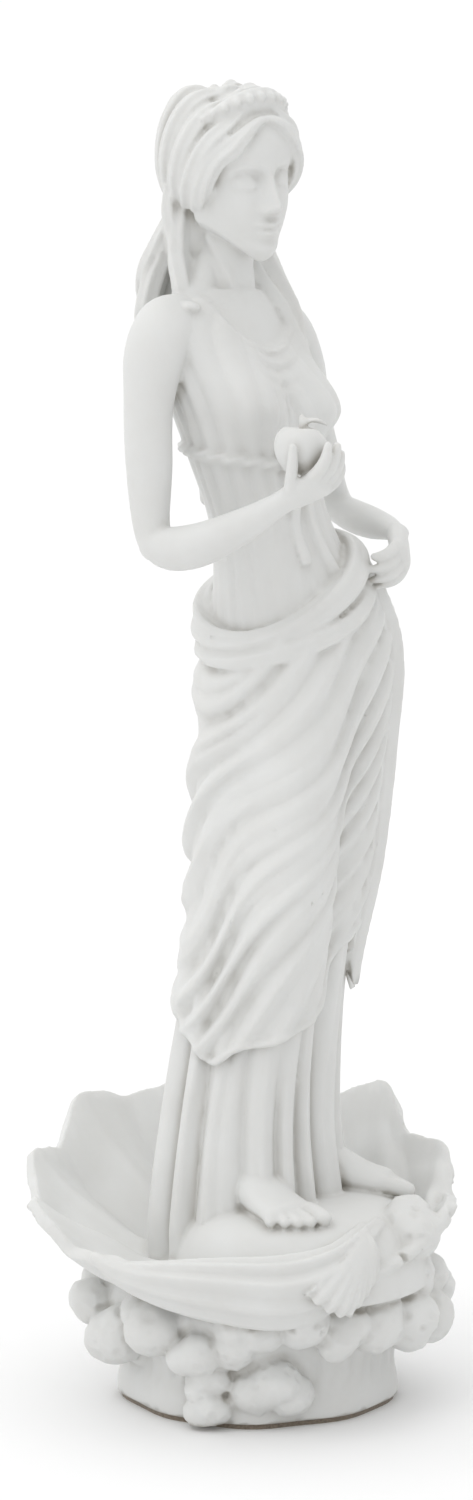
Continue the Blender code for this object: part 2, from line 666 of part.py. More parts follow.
def scalp_locks(side):
    """Waved locks swept over the skull from the parting to the nape."""
    forms = []
    s = np.linspace(0, 1, 30)[:, None]
    for i in range(LOCKS_EACH_SIDE):
        t = i / (LOCKS_EACH_SIDE - 1)
        rise = math.radians(38 + 104 * t)
        round_head = math.radians(84 + 90 * t)
        start = np.array((0.05 * side, -math.cos(rise), math.sin(rise)))
        middle = np.array((side * (1.15 - 0.62 * t), -0.78 + 1.5 * t, 0.36 + 0.34 * t))
        end = np.array((side * math.sin(round_head), -math.cos(round_head), -0.78))
        heading = unit((1 - s) ** 2 * start + 2 * s * (1 - s) * middle + s**2 * end)
        wave = np.sin(s * 3.6 * np.pi + 0.8 * i)
        path = SKULL_CENTRE + heading * (SKULL_RADII + 0.9 + 0.55 * wave)
        path[:, 2:] += 0.75 * np.cos(s * 3.6 * np.pi + 0.8 * i)
        width = 1.0 + 1.65 * ease(s, 0, 0.35) - 0.5 * ease(s, 0.75, 1)
        keys = np.hstack([path, width, 0.8 * width])
        forms.append(sweep(keys, (0, 1, 0.4), 90, 40, flutes=6, flute_depth=0.13, twist=5))
    return forms


# The hair's mass between her neck and the outer locks: x, y, height, half width, half depth
HAIR_FALL = (
    (0, 9.5, 14, 9.5, 5.0),
    (0, 11.2, 0, 9.2, 4.8),
    (0, 12.2, -14, 9.8, 4.0),
    (0, 10.8, -30, 9.0, 3.0),
    (0, 7.5, -46, 7.0, 2.0),
)


def back_locks():
    """The long hair that falls over her shoulders and down her back."""
    forms = []
    for layer, count, reach in ((0, 9, 1.0), (1, 8, 0.84)):
        for i in range(count):
            across = (i - (count - 1) / 2) / ((count - 1) / 2)
            phase = i * 1.9 + 2.4 * layer
            length = (62 + 9 * math.cos(across * 1.3) + 6 * math.sin(phase)) * reach
            keys = []
            for step in range(9):
                t = step / 8
                spread = 7.5 + 6.5 * ease(t, 0, 0.5) - 3.0 * ease(t, 0.5, 1) - 1.5 * layer
                x = across * spread + (1.3 + 0.5 * t) * math.sin(phase + 8.0 * t)
                y = 13.0 + 3.5 * ease(t, 0.15, 0.5) - 7.5 * ease(t, 0.5, 1) - 4.5 * across**2
                y += 0.9 * math.sin(2 * phase + 8 * t) + 1.2 * layer
                size = 2.7 * (1 - 0.6 * ease(t, 0.7, 1)) * (0.9 if layer else 1)
                keys.append((x, y, 15 - length * t, size, size * 0.85))
            forms.append(sweep(keys, (1, 0, 0), 100, 40, flutes=6, flute_depth=0.13, twist=9))
    return forms


def shoulder_locks():
    """Long waved locks on each side, drawn forward over the collar bone."""
    forms = []
    for side, drop in ((-1, 46), (1, 40)):
        for strand in range(3):
            turn = 2.1 * strand
            off = 1.5 * strand - 1.5
            keys = []
            for along, x, y, size in (
                (17, 8.2, 6.5, 1.5),
                (9, 9.9, 5.6, 2.1),
                (2, 10.7, 4.5, 2.2),
                (-6, 11.4, 1.5, 2.2),
                (-14, 12.6, -4.0, 2.0),
                (-23, 12.2, -8.6, 1.8),
                (-33, 13.4, -11.0, 1.5),
                (-drop + 4 * strand, 12.6, -10.8, 0.8),
            ):
                sideways = off + 0.9 * math.sin(turn + along / 4.5)
                forwards = 0.9 * math.cos(turn + along / 4.5)
                keys.append((side * (x + sideways), y + forwards, along, size, size * 0.9))
            forms.append(sweep(keys, (1, 0, 0), 100, 36, flutes=5, flute_depth=0.14, twist=12))
    return forms


DIADEM_BEADS = 13


def diadem():
    """A low crescent set on the hair above the brow, with a row of beads along it."""
    around = np.radians(np.linspace(-70, 70, 25))
    heading = unit(
        np.stack([np.sin(around), -0.62 * np.cos(around), 0.42 + 0.4 * np.cos(around)], axis=-1)
    )
    height = 2.2 * np.cos(around * 1.2) ** 1.3 + 0.7
    path = SKULL_CENTRE + heading * (SKULL_RADII + 1.7)
    path[:, 2] += 0.35 * height
    keys = np.hstack([path, height[:, None], 0.95 + 0 * height[:, None]])
    forms = [sweep(keys, (0, 0.25, 1), 80, 20)]
    spots = spline(np.hstack([path + heading * 1.0, height[:, None]]), DIADEM_BEADS)
    for x, y, z, size in spots[1:-1]:
        forms.append(ball((x, y, z), (0.32 * size + 0.35,) * 3))
    return forms


def head():
    """Head and hair in the head's own millimetres, from the chin up."""
    forms = [face(121, 140)] + hair_cap()
    forms.append(ball((0, 7.0, 3), (12.0, 6.5, 15)))
    forms.append(sweep(HAIR_FALL, (1, 0, 0), 40, 40))
    for side in (-1, 1):
        forms += scalp_locks(side)
    return forms + back_locks() + shoulder_locks() + diadem()


def neck():
    keys = (
        (-1, 4, 198, 9.5, 8.0),
        (-1, 3.4, 205, 6.9, 6.6),
        (-0.8, 2.6, 212, 6.0, 6.2),
        (-0.5, 2.2, 222, 6.6, 7.0),
    )
    return [sweep(keys, (1, 0, 0), 30, 40)]


# The hip carried over the standing leg: height, shift to her left, shift back, tilt of what is level
SWAY = (
    (-10, 0.0, 0.0, 0.0),
    (20, 0.7, 0.2, 0.0),
    (70, 3.2, -1.0, 0.02),
    (120, 5.2, -3.0, 0.08),
    (150, 3.0, -1.8, 0.0),
    (180, -0.8, 0.6, -0.08),
    (205, -2.8, 2.0, -0.07),
    (225, -3.6, 1.6, 0.0),
    (260, -4.4, 0.6, 0.0),
)


def swayed(form):
    """The form bent with her body's curve."""
    points = np.array([vertex.co for vertex in form.verts])
    keys = spline(SWAY, 80)
    shift = [np.interp(points[:, 2], keys[:, 0], keys[:, i]) for i in (1, 2, 3)]
    points[:, 2] += shift[2] * points[:, 0]
    points[:, 0] += shift[0]
    points[:, 1] += shift[1]
    for vertex, point in zip(form.verts, points):
        vertex.co = point
    return form


def figure():
    """The goddess, placed on the mound with her soles at their height."""
    turn = (
        Matrix.Rotation(HEAD_TURN, 4, "Z")
        @ Matrix.Rotation(HEAD_TILT, 4, "Y")
        @ Matrix.Rotation(HEAD_NOD, 4, "X")
    )
    pivot = Matrix.Translation((0, 2, 4))
    seat = Matrix.Translation((*HEAD_AXIS, CHIN)) @ pivot @ turn @ pivot.inverted()
    forms = trunk() + collar() + [stack(SKIRT, 160, 400, skirt_fold)]
    forms += mantle() + cascade() + arms() + feet() + neck()
    forms += [moved(form, seat) for form in head()]
    place = Matrix.Translation((0, FIGURE_SET_BACK, SOLE_HEIGHT)) @ Matrix.Scale(FIGURE_MM, 4)
    return [moved(swayed(form), place) for form in forms]


# The raised lobe of the rim at her left
SHELL_LOBE_RISE = 0.005
SHELL_LOBE_BEARING = 1.85


def shell():
    """The scallop: a fluted bowl whose ribs meet at the umbo in front, thickened to its wall."""
    half_fan = math.radians(86)
    phi = np.linspace(-half_fan, half_fan, 661)[None, :]
    share = np.linspace(0.03, 1, 180)[:, None]
    turn = phi * SHELL_RIBS * np.pi / half_fan
    rib = np.cos(turn)
    reach = 2 * SHELL_RADIUS * np.cos(phi) * share
    x = np.sin(phi) * reach
    y = np.cos(phi) * reach - SHELL_RADIUS
    out = np.hypot(x, y) / SHELL_RADIUS
    bearing = np.arctan2(x, y)
    lip_share = ease(out, 0.7, 1)
    ruffle = 0.0013 * np.sin(5 * bearing + 1) + 0.0008 * np.sin(9 * bearing)
    scallop = 1 + lip_share * (0.014 * rib + ruffle / SHELL_RADIUS)
    rim = SHELL_RIM + SHELL_RIM_RISE * np.cos(bearing - SHELL_RISE_BEARING)
    rim = rim + SHELL_LOBE_RISE * np.exp(-(((bearing - SHELL_LOBE_BEARING) / 0.32) ** 2))
    height = np.minimum(0.45 * reach * half_fan / SHELL_RIBS, SHELL_RIB_HEIGHT)
    fine = ease(share, 0.25, 0.6)
    growth = SHELL_GROWTH * np.cos(2 * np.pi * share * 5 + 0.4 * np.sin(3 * phi)) * fine
    lines = SHELL_GROWTH * np.cos(3 * turn) * fine
    z = SHELL_FLOOR + (rim + ruffle - SHELL_FLOOR) * out**2.2 + height * rib + growth + lines
    x = x * scallop
    y = y * scallop + SHELL_SET_BACK
    form = bmesh.new()
    points = np.stack([x, y, z], axis=-1)
    grid = [[form.verts.new(point) for point in row] for row in points]
    for row, following in zip(grid, grid[1:]):
        for i in range(len(row) - 1):
            form.faces.new((row[i], row[i + 1], following[i + 1], following[i]))
    bmesh.ops.recalc_face_normals(form, faces=form.faces)
    surface = bpy.data.objects.new("shell_surface", bpy.data.meshes.new("shell_surface"))
    form.to_mesh(surface.data)
    form.free()
    bpy.context.scene.collection.objects.link(surface)
    wall = surface.modifiers.new("wall", "SOLIDIFY")
    wall.thickness = SHELL_WALL
    wall.offset = 0
    return [evaluated(surface)]


# The shell's ear: its tip, the edge of its fan, the way it faces, and its ribs
EAR_TIP = (-0.0078, -0.0372, 0.0448)
EAR_EDGE = (
    (-0.0308, -0.0384, 0.0350),
    (-0.0264, -0.0405, 0.0308),
    (-0.0204, -0.0413, 0.0284),
    (-0.0134, -0.0402, 0.0300),
    (-0.0090, -0.0402, 0.0336),
    (-0.0056, -0.0394, 0.0384),
)
EAR_OUTWARD = (-0.6, -0.78, 0.1)
EAR_RIBS = 9
EAR_RIB_HEIGHT = 0.0009
EAR_BELLY = 0.0022
EAR_DEPTH = 0.0085


def evaluated(guide):
    """The form that an object's modifiers make of it. The object itself is removed."""
    bpy.context.view_layer.update()
    mesh = bpy.data.meshes.new_from_object(guide.evaluated_get(bpy.context.evaluated_depsgraph_get()))
    form = bmesh.new()
    form.from_mesh(mesh)
    bmesh.ops.remove_doubles(form, verts=form.verts, dist=1e-6)
    bmesh.ops.transform(form, matrix=guide.matrix_world, verts=form.verts)
    bpy.data.meshes.remove(mesh)
    bpy.data.objects.remove(guide)
    return form


def ear():
    """The ribbed wing beside the umbo: a fan that spreads down and towards the viewer's side."""
    across = np.linspace(0, 1, 161)[None, :, None]
    along = np.linspace(0.04, 1, 40)[:, None, None]
    tip = np.array(EAR_TIP)
    edge = spline(EAR_EDGE, 161)[None, :, :]
    outward = unit(np.array(EAR_OUTWARD))
    scallop = 1 + 0.018 * np.cos(2 * np.pi * EAR_RIBS * across) * along**2
    belly = EAR_BELLY * (np.sin(np.pi * along**0.8) + np.sin(np.pi * across) * along)
    belly = belly - 0.8 * EAR_BELLY * ease(along, 0.86, 1)
    rib = EAR_RIB_HEIGHT * ridges(2 * np.pi * EAR_RIBS * across, 0.8) * ease(along, 0, 0.3)
    face_out = tip + (edge - tip) * along * scallop + outward * (belly + rib)
    behind = tip + (edge - tip) * along - outward * EAR_DEPTH * (1 - 0.55 * along)
    return [loft(np.concatenate([face_out, behind[:, ::-1]], axis=1))]


def lip():
    """The belly of the shell that rolls over in front, with long flutes from umbo to rim."""
    keys = (
        (0.0000, -0.0325, 0.0425, 0.0030, 0.0030),
        (-0.0070, -0.0340, 0.0395, 0.0062, 0.0036),
        (-0.0170, -0.0340, 0.0352, 0.0088, 0.0050),
        (-0.0275, -0.0292, 0.0332, 0.0096, 0.0064),
        (-0.0370, -0.0182, 0.0338, 0.0088, 0.0050),
        (-0.0425, -0.0065, 0.0345, 0.0062, 0.0034),
        (-0.0456, 0.0020, 0.0362, 0.0034, 0.0022),
        (-0.0466, 0.0080, 0.0388, 0.0014, 0.0012),
    )
    return [sweep(keys, (-0.42, -0.42, 0.8), 120, 144, flutes=9, flute_depth=0.085)]


def mound():
    """The flat-topped swell inside the shell that carries her feet."""
    rings = []
    theta = np.linspace(0, 2 * np.pi, 120, endpoint=False)
    for t in np.radians(np.linspace(-14, 86, 50)):
        out = MOUND_RADIUS * (math.cos(t) ** 0.34 + 2 * min(t, 0))
        x = out * np.cos(theta)
        y = out * np.sin(theta) - MOUND_FORWARD
        rings.append(np.stack([x, y, SHELL_FLOOR + MOUND_HEIGHT * math.sin(t) + 0 * x], axis=-1))
    return [loft(rings)]


def pedestal_outline(theta, grow):
    lobes = 1 + 0.014 * np.sin(5 * theta + 2.2) + 0.016 * np.sin(9 * theta + 5.2)
    return (
        (PEDESTAL_RADIUS_X + grow) * lobes * np.cos(theta),
        (PEDESTAL_RADIUS_Y + grow) * lobes * np.sin(theta),
    )


def pedestal():
    """The rock: an uneven drum, waisted under a frilled ledge, streaked where water runs down."""
    theta = np.linspace(0, 2 * np.pi, 480, endpoint=False)
    low = PAD_THICKNESS - 0.002
    profile = (
        (low, -0.0002),
        (0.004, 0.0),
        (0.010, -0.0012),
        (0.016, -0.0002),
        (0.021, 0.0026),
        (0.0255, 0.0032),
        (0.030, -0.002),
        (0.034, -0.010),
    )
    rings = []
    for z, grow in spline(profile, 70):
        stroke = 0.0007 * ridges(37 * theta + 3 * np.sin(4 * theta) + 1.5 * np.sin(z * 400))
        stroke += 0.0003 * ridges(83 * theta + 4 * np.sin(5 * theta) + z * 300)
        stroke *= ease(z, 0.003, 0.012)
        frill = 0.0042 * ease(z, 0.012, 0.024) * np.clip(np.sin(7 * theta + 0.8 * np.sin(2 * theta)), 0, 1)
        x, y = pedestal_outline(theta, grow + stroke + frill)
        rings.append(np.stack([x, y, z + 0 * x], axis=-1))
    return [loft(rings)]


# Foam clumps round the rock: bearing in degrees from -Y towards +X, distance, height, size, in millimetres
FOAM = (
    (-73, 34.0, 17, 5.3),
    (-71, 32.3, 11.8, 4.4),
    (-72.5, 32.0, 8.0, 4.2),
    (-71, 32.2, 4.6, 4.6),
    (-60, 33.5, 19.5, 4.8),
    (-50, 34.5, 23, 4.8),
    (-53, 30.5, 8.4, 5.2),
    (-44, 31.0, 10.6, 5.6),
    (-37, 30.5, 7.4, 4.8),
    (-34, 34.5, 25, 6.0),
    (-19, 34.5, 22.5, 5.6),
    (-4, 35.0, 22, 6.4),
    (0, 34.0, 30, 4.6),
    (12, 37.0, 21.5, 6.6),
    (18, 35.5, 30, 5.6),
    (15, 37.0, 40.5, 6.8),
    (27, 38.5, 20, 6.2),
    (34, 36.0, 28, 5.6),
    (46, 37.0, 22, 6.8),
    (58, 36.0, 29, 5.6),
    (70, 36.5, 22, 7.2),
    (90, 36.0, 26, 6.2),
    (110, 35.0, 22, 7.2),
    (132, 33.5, 25, 6.2),
    (153, 33.0, 21, 7.0),
    (176, 32.5, 25, 6.2),
    (-163, 33.0, 21, 7.0),
    (-144, 34.5, 25, 6.0),
    (-130, 37.0, 22, 5.8),
    (-114, 34.5, 17, 6.8),
    (-93, 35.0, 21, 6.2),
)
# Pits on a clump, and the rings of its curl: where they face, how far they reach and how high they stand
FOAM_PITS = 34
CURL_HEADING = np.array((0, -0.85, 0.53))
CURL_SCATTER = 0.35
CURL_SPAN = 0.0110
CURL_STEP = 0.0024
CURL_RELIEF = 0.036


def clump(centre, radius, turn, seed):
    """A knot of foam: lobed, pitted with shallow rimmed cells, and curled on its outer side."""
    form = bmesh.new()
    bmesh.ops.create_uvsphere(form, u_segments=96, v_segments=64, radius=1)
    heading = unit(np.array([vertex.co for vertex in form.verts]))
    draw = np.random.default_rng(seed)
    out = np.ones(len(heading))
    for lobe, height in zip(unit(draw.normal(size=(6, 3))), draw.uniform(0.07, 0.22, 6)):
        out += height * np.exp(-(((1 - heading @ lobe) / 0.19) ** 2))
    middle = unit(CURL_HEADING + draw.normal(scale=CURL_SCATTER, size=3))
    curl = np.arccos(np.clip(heading @ middle, -1, 1))
    curled = np.exp(-((curl * CURL_SPAN / radius) ** 2))
    out += CURL_RELIEF * np.cos(2 * np.pi * curl * radius / CURL_STEP) * curled
    order = np.arange(FOAM_PITS) + 0.5
    level = 1 - 2 * order / FOAM_PITS
    round_knot = order * np.pi * (1 + 5**0.5) + draw.uniform(0, 2 * np.pi)
    ring = np.sqrt(1 - level**2)
    pits = np.stack([ring * np.cos(round_knot), ring * np.sin(round_knot), level], axis=-1)
    for pit in unit(pits + draw.normal(scale=0.15, size=pits.shape)):
        gap = np.arccos(np.clip(heading @ pit, -1, 1))
        wide, deep = draw.uniform(0.16, 0.3), draw.uniform(0.03, 0.12)
        out -= deep * np.exp(-((gap / (0.6 * wide)) ** 2)) * (1 - curled)
        out += 0.5 * deep * np.exp(-(((gap - wide) / (0.3 * wide)) ** 2)) * (1 - curled)
    squash = Matrix.Diagonal((1.06, 0.98, 0.94, 1)) @ Matrix.Scale(radius, 4)
    for vertex, point in zip(form.verts, heading * out[:, None]):
        vertex.co = point
    return moved(form, Matrix.Translation(centre) @ Matrix.Rotation(turn, 4, "Z") @ squash)


def foam():
    """Knots of foam that crowd the rock's top edge and carry the shell."""
    forms = []
    for seed, (bearing, distance, height, size) in enumerate(FOAM):
        angle = math.radians(bearing)
        centre = Vector((distance * math.sin(angle), -distance * math.cos(angle), height)) * MM
        radius = size * MM
        forms.append(clump(centre, radius * 0.97, angle, seed))
        inward = (centre[0] * 0.8, centre[1] * 0.8, centre[2] - 0.002)
        forms.append(ball(inward, (radius * 0.9, radius * 0.9, radius * 0.9)))
    return forms


def joined(name, forms):
    """One object that holds all the forms as they stand."""
    whole = bmesh.new()
    for form in forms:
        mesh = bpy.data.meshes.new("form")
        form.to_mesh(mesh)
        form.free()
        whole.from_mesh(mesh)
        bpy.data.meshes.remove(mesh)
    mesh = bpy.data.meshes.new(name)
    whole.to_mesh(mesh)
    whole.free()
    return bpy.data.objects.new(name, mesh)


def cast(name, forms):
    """The forms fused into one skin, smoothed and reduced to facets, finer at the head."""
    rough = joined("rough", forms)
    bpy.context.scene.collection.objects.link(rough)
    skin = rough.modifiers.new("skin", "REMESH")
    skin.mode = "VOXEL"
    skin.voxel_size = CAST_VOXEL
    soften = rough.modifiers.new("soften", "SMOOTH")
    soften.factor = 0.5
    soften.iterations = 2
    casting = joined(name, [evaluated(rough)])
    spare = casting.vertex_groups.new(name="reduced")
    points = casting.data.vertices
    spare.add([v.index for v in points if v.co.z <= HEAD_FROM], 1.0, "REPLACE")
    spare.add([v.index for v in points if v.co.z > HEAD_FROM], 0.5, "REPLACE")
    facets = casting.modifiers.new("facets", "DECIMATE")
    facets.ratio = CAST_SHARE
    facets.vertex_group = spare.name
    facets.vertex_group_factor = HEAD_SPARED
    return casting


def material(name, colour, roughness):
    made = bpy.data.materials.new(name)
    made.use_nodes = True
    shader = made.node_tree.nodes["Principled BSDF"]
    shader.inputs["Base Color"].default_value = (*colour, 1)
    shader.inputs["Roughness"].default_value = roughness
    shader.inputs["Metallic"].default_value = 0
    return made


def felt_pad():
    """The thin pad glued under the rock, cut a little inside its outline."""
    theta = np.linspace(0, 2 * np.pi, 72, endpoint=False)
    curve = bpy.data.curves.new("felt_pad", "CURVE")
    curve.dimensions = "2D"
    curve.fill_mode = "BOTH"
    curve.extrude = PAD_THICKNESS / 2
    spline_points = curve.splines.new("POLY")
    spline_points.points.add(len(theta) - 1)
    for point, x, y in zip(spline_points.points, *pedestal_outline(theta, -PAD_INSET)):
        point.co = (x, y, 0, 1)
    spline_points.use_cyclic_u = True
    pad = bpy.data.objects.new("felt_pad", curve)
    pad.location.z = PAD_THICKNESS / 2
    return pad


def base_cutter():
    """A block that trims the casting flat just above the pad."""
    form = bmesh.new()
    size = 4 * SHELL_RADIUS
    place = Matrix.Translation((0, 0, PAD_THICKNESS + PAD_GAP - size / 2)) @ Matrix.Scale(size, 4)
    bmesh.ops.create_cube(form, size=1, matrix=place)
    cutter = joined("base_cutter", [form])
    cutter.hide_render = True
    cutter.display_type = "WIRE"
    return cutter


def main():
    for old in list(bpy.data.objects):
        bpy.data.objects.remove(old)
    parts = bpy.data.collections.new("aphrodite_statuette")
    cutters = bpy.data.collections.new("cutters")
    for collection in (parts, cutters):
        bpy.context.scene.collection.children.link(collection)
    statue = cast("statue", figure() + shell() + ear() + lip() + mound() + pedestal() + foam())
    cutter = base_cutter()
    trim = statue.modifiers.new("flat_underside", "BOOLEAN")
    trim.operation = "DIFFERENCE"
    trim.object = cutter
    pad = felt_pad()
    statue.data.materials.append(material("cast_marble", (0.84, 0.84, 0.82), 0.55))
    pad.data.materials.append(material("felt", (0.22, 0.18, 0.14), 0.95))
    parts.objects.link(statue)
    parts.objects.link(pad)
    cutters.objects.link(cutter)


main()
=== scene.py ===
import math

import bmesh
import bpy
import numpy as np
from mathutils import Matrix, Vector


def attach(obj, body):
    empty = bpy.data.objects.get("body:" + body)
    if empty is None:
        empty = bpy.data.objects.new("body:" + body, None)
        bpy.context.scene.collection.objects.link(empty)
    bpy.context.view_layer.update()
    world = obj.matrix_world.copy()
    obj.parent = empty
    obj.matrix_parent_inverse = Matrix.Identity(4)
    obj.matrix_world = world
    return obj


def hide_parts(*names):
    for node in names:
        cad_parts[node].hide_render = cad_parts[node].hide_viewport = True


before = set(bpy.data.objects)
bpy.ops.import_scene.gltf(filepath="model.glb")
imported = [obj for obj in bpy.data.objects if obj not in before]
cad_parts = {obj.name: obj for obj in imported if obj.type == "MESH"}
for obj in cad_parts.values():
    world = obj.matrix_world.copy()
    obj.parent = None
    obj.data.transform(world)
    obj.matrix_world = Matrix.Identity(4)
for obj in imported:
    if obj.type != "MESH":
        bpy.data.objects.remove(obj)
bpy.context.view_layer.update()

# Driving dimensions
FIGURE_HEIGHT = 0.246
FIGURE_SET_BACK = 0.002
SOLE_HEIGHT = 0.0450
PAD_THICKNESS = 0.0010
PAD_GAP = 0.0003
PEDESTAL_RADIUS_X = 0.0314
PEDESTAL_RADIUS_Y = 0.0308
SHELL_RADIUS = 0.0475
SHELL_WALL = 0.0030
SHELL_SET_BACK = 0.0060
SHELL_FLOOR = 0.0285
SHELL_RIM = 0.0470
SHELL_RIM_RISE = 0.0120
SHELL_RISE_BEARING = math.radians(45)
SHELL_RIBS = 11
SHELL_RIB_HEIGHT = 0.0019
SHELL_GROWTH = 0.0003
MOUND_RADIUS = 0.0295
MOUND_HEIGHT = 0.0178
MOUND_FORWARD = 0.0115

# Fineness of the casting
CAST_VOXEL = 0.00045
CAST_TRIANGLES = 192000
HEAD_FROM = 0.2580
HEAD_SPARED = 0.0006
MM = 0.001

# The figure's own tables are in millimetres of a goddess 250 mm tall, from her soles up
FIGURE_TABLE_HEIGHT = 250.0
FIGURE_MM = FIGURE_HEIGHT / FIGURE_TABLE_HEIGHT
CHIN = 215.0
HEAD_AXIS = (-0.5, 1.5)
HEAD_TURN = math.radians(-12)
HEAD_NOD = math.radians(6)
HEAD_TILT = math.radians(-4)


def spline(keys, count):
    """Rows read at even steps along a smooth curve through the key rows."""
    keys = np.asarray(keys, float)
    last = len(keys) - 1
    at = np.linspace(0, last, count)
    start = np.clip(at.astype(int), 0, last - 1)
    t = (at - start)[:, None]
    before = keys[np.maximum(start - 1, 0)]
    a = keys[start]
    b = keys[start + 1]
    after = keys[np.minimum(start + 2, last)]
    return 0.5 * (
        2 * a
        + (b - before) * t
        + (2 * before - 5 * a + 4 * b - after) * t**2
        + (3 * a - before - 3 * b + after) * t**3
    )


def bump(x, z, width, height):
    """A smooth hill of height 1 at the origin."""
    return np.exp(-((x / width) ** 2) - (z / height) ** 2)


def ease(x, low, high):
    """0 below low, 1 above high, and a smooth step between."""
    t = np.clip((x - low) / (high - low), 0, 1)
    return t * t * (3 - 2 * t)


def unit(rows):
    return rows / np.linalg.norm(rows, axis=-1, keepdims=True)


def loft(rings):
    """A closed form through rings of points, its two ends closed with fans."""
    rings = np.asarray(rings, float)
    count, sides = rings.shape[:2]
    form = bmesh.new()
    rows = [[form.verts.new(point) for point in ring] for ring in rings]
    for row, following in zip(rows, rows[1:]):
        for i in range(sides):
            j = (i + 1) % sides
            form.faces.new((row[i], row[j], following[j], following[i]))
    for row, ring, turned in ((rows[0], rings[0], True), (rows[-1], rings[-1], False)):
        middle = form.verts.new(ring.mean(axis=0))
        for i in range(sides):
            j = (i + 1) % sides
            form.faces.new((row[j], row[i], middle) if turned else (row[i], row[j], middle))
    bmesh.ops.recalc_face_normals(form, faces=form.faces)
    return form


def sweep(keys, across, count=24, sides=16, flutes=0, flute_depth=0.0, twist=0.0):
    """A limb or lock: rows of (x, y, z, half width, half thickness) joined smoothly, with round ends.

    The width lies along the direction given by across, as nearly as the path allows."""
    rows = spline(keys, count)
    tangent = unit(np.gradient(rows[:, :3], axis=0))
    cap = np.radians([88, 60, 30])
    lead, tail = rows[[0] * len(cap)].copy(), rows[[-1] * len(cap)].copy()
    for end, toward, order in ((lead, -tangent[0], cap), (tail, tangent[-1], cap[::-1])):
        end[:, :3] += toward * (end[:, 4] * np.sin(order))[:, None]
        end[:, 3:5] *= np.cos(order)[:, None]
    rows = np.vstack([lead, rows, tail])
    tangent = np.vstack([[tangent[0]] * len(cap), tangent, [tangent[-1]] * len(cap)])
    side = np.asarray(across, float)
    side = unit(side - (tangent @ side)[:, None] * tangent)
    other = np.cross(tangent, side)
    angle = np.linspace(0, 2 * np.pi, sides, endpoint=False)
    turn = twist * np.linspace(0, 1, len(rows))[:, None]
    swell = 1 + flute_depth * np.cos(flutes * angle[None, :] + turn)
    wide = rows[:, 3:4] * np.cos(angle) * swell
    deep = rows[:, 4:5] * np.sin(angle) * swell
    return loft(
        rows[:, None, :3] + wide[..., None] * side[:, None] + deep[..., None] * other[:, None]
    )


def ball(centre, radii, turn=0.0):
    """An ellipsoid, turned about the vertical."""
    form = bmesh.new()
    place = (
        Matrix.Translation(centre)
        @ Matrix.Rotation(turn, 4, "Z")
        @ Matrix.Diagonal((*radii, 1))
    )
    bmesh.ops.create_uvsphere(form, u_segments=20, v_segments=14, radius=1, matrix=place)
    return form


def moved(form, matrix):
    bmesh.ops.transform(form, matrix=matrix, verts=form.verts)
    return form


def body_ring(theta, centre_x, centre_y, half_width, front, back):
    """Points of an oval section. theta is 0 at the front and grows towards her left."""
    depth = np.where(np.cos(theta) > 0, front, back)
    return centre_x + half_width * np.sin(theta), centre_y - depth * np.cos(theta)


# Rows of height, centre x, centre y, half width, half depth in front, half depth behind
TRUNK = (
    (110, 2.5, -2.0, 21.0, 13.5, 14.5),
    (122, 3.0, -2.5, 22.0, 13.8, 15.5),
    (134, 2.8, -2.0, 20.2, 13.0, 14.0),
    (146, 1.5, -1.0, 16.6, 11.3, 10.5),
    (156, 0.5, 0.0, 15.0, 10.5, 9.4),
    (168, -0.5, 0.5, 16.4, 11.5, 10.4),
    (180, -1.0, 0.5, 19.0, 11.5, 12.0),
    (190, -1.0, 1.5, 21.0, 10.0, 12.0),
    (197, -1.0, 2.5, 21.5, 8.6, 10.0),
    (202, -1.0, 3.0, 16.0, 7.8, 8.8),
    (206, -1.0, 3.2, 9.5, 7.0, 7.5),
)
SKIRT = (
    (-13, 1.0, 1.0, 23.6, 19.0, 21.6),
    (-5, 1.0, 1.0, 23.6, 18.6, 21.4),
    (4, 1.0, 1.0, 22.6, 17.5, 20.0),
    (20, 1.0, 1.0, 21.0, 15.5, 17.5),
    (45, 1.0, 0.0, 20.0, 14.0, 15.5),
    (72, 1.5, -1.0, 20.2, 13.6, 14.8),
    (98, 2.2, -1.5, 21.6, 14.0, 15.0),
    (120, 3.0, -2.5, 22.4, 14.2, 15.8),
    (134, 2.8, -2.0, 20.6, 13.4, 14.4),
    (148, 1.5, -1.0, 17.0, 11.8, 11.0),
    (158, 0.5, 0.0, 15.6, 11.0, 10.0),
    (171, -0.7, 0.5, 17.4, 12.2, 11.0),
)
# Height, and how far the free leg pushes the cloth forwards there
PRESS = (
    (-12, 1.0),
    (6, 2.4),
    (28, 5.0),
    (48, 9.0),
    (66, 12.6),
    (82, 11.8),
    (102, 7.6),
    (122, 2.6),
    (142, 0),
)
KNEE_SIDE = -0.56
SKIRT_FOLDS = 15


def leg_press(theta, z):
    """How far the legs and the hips push the cloth outwards, and how it sinks between them."""
    knee = table(PRESS, z) * np.exp(-(((theta - KNEE_SIDE) / 0.44) ** 2))
    thigh = 3.0 * np.exp(-(((theta - 0.55) / 0.36) ** 2) - ((z - 82) / 34) ** 2)
    hollow = -2.4 * np.exp(-(((theta - 0.06) / 0.15) ** 2) - ((z - 72) / 34) ** 2)
    behind = np.minimum(np.abs(theta), 2 * np.pi - np.abs(theta))
    seat = 2.2 * np.exp(-(((behind - 2.66) / 0.34) ** 2) - ((z - 118) / 13) ** 2)
    return knee + thigh + hollow + seat


def ridges(phase, sharpness=0.75):
    """Round ridges with narrow valleys between them, from -0.5 to 0.5."""
    return np.abs(np.cos(phase / 2)) ** sharpness - 0.5


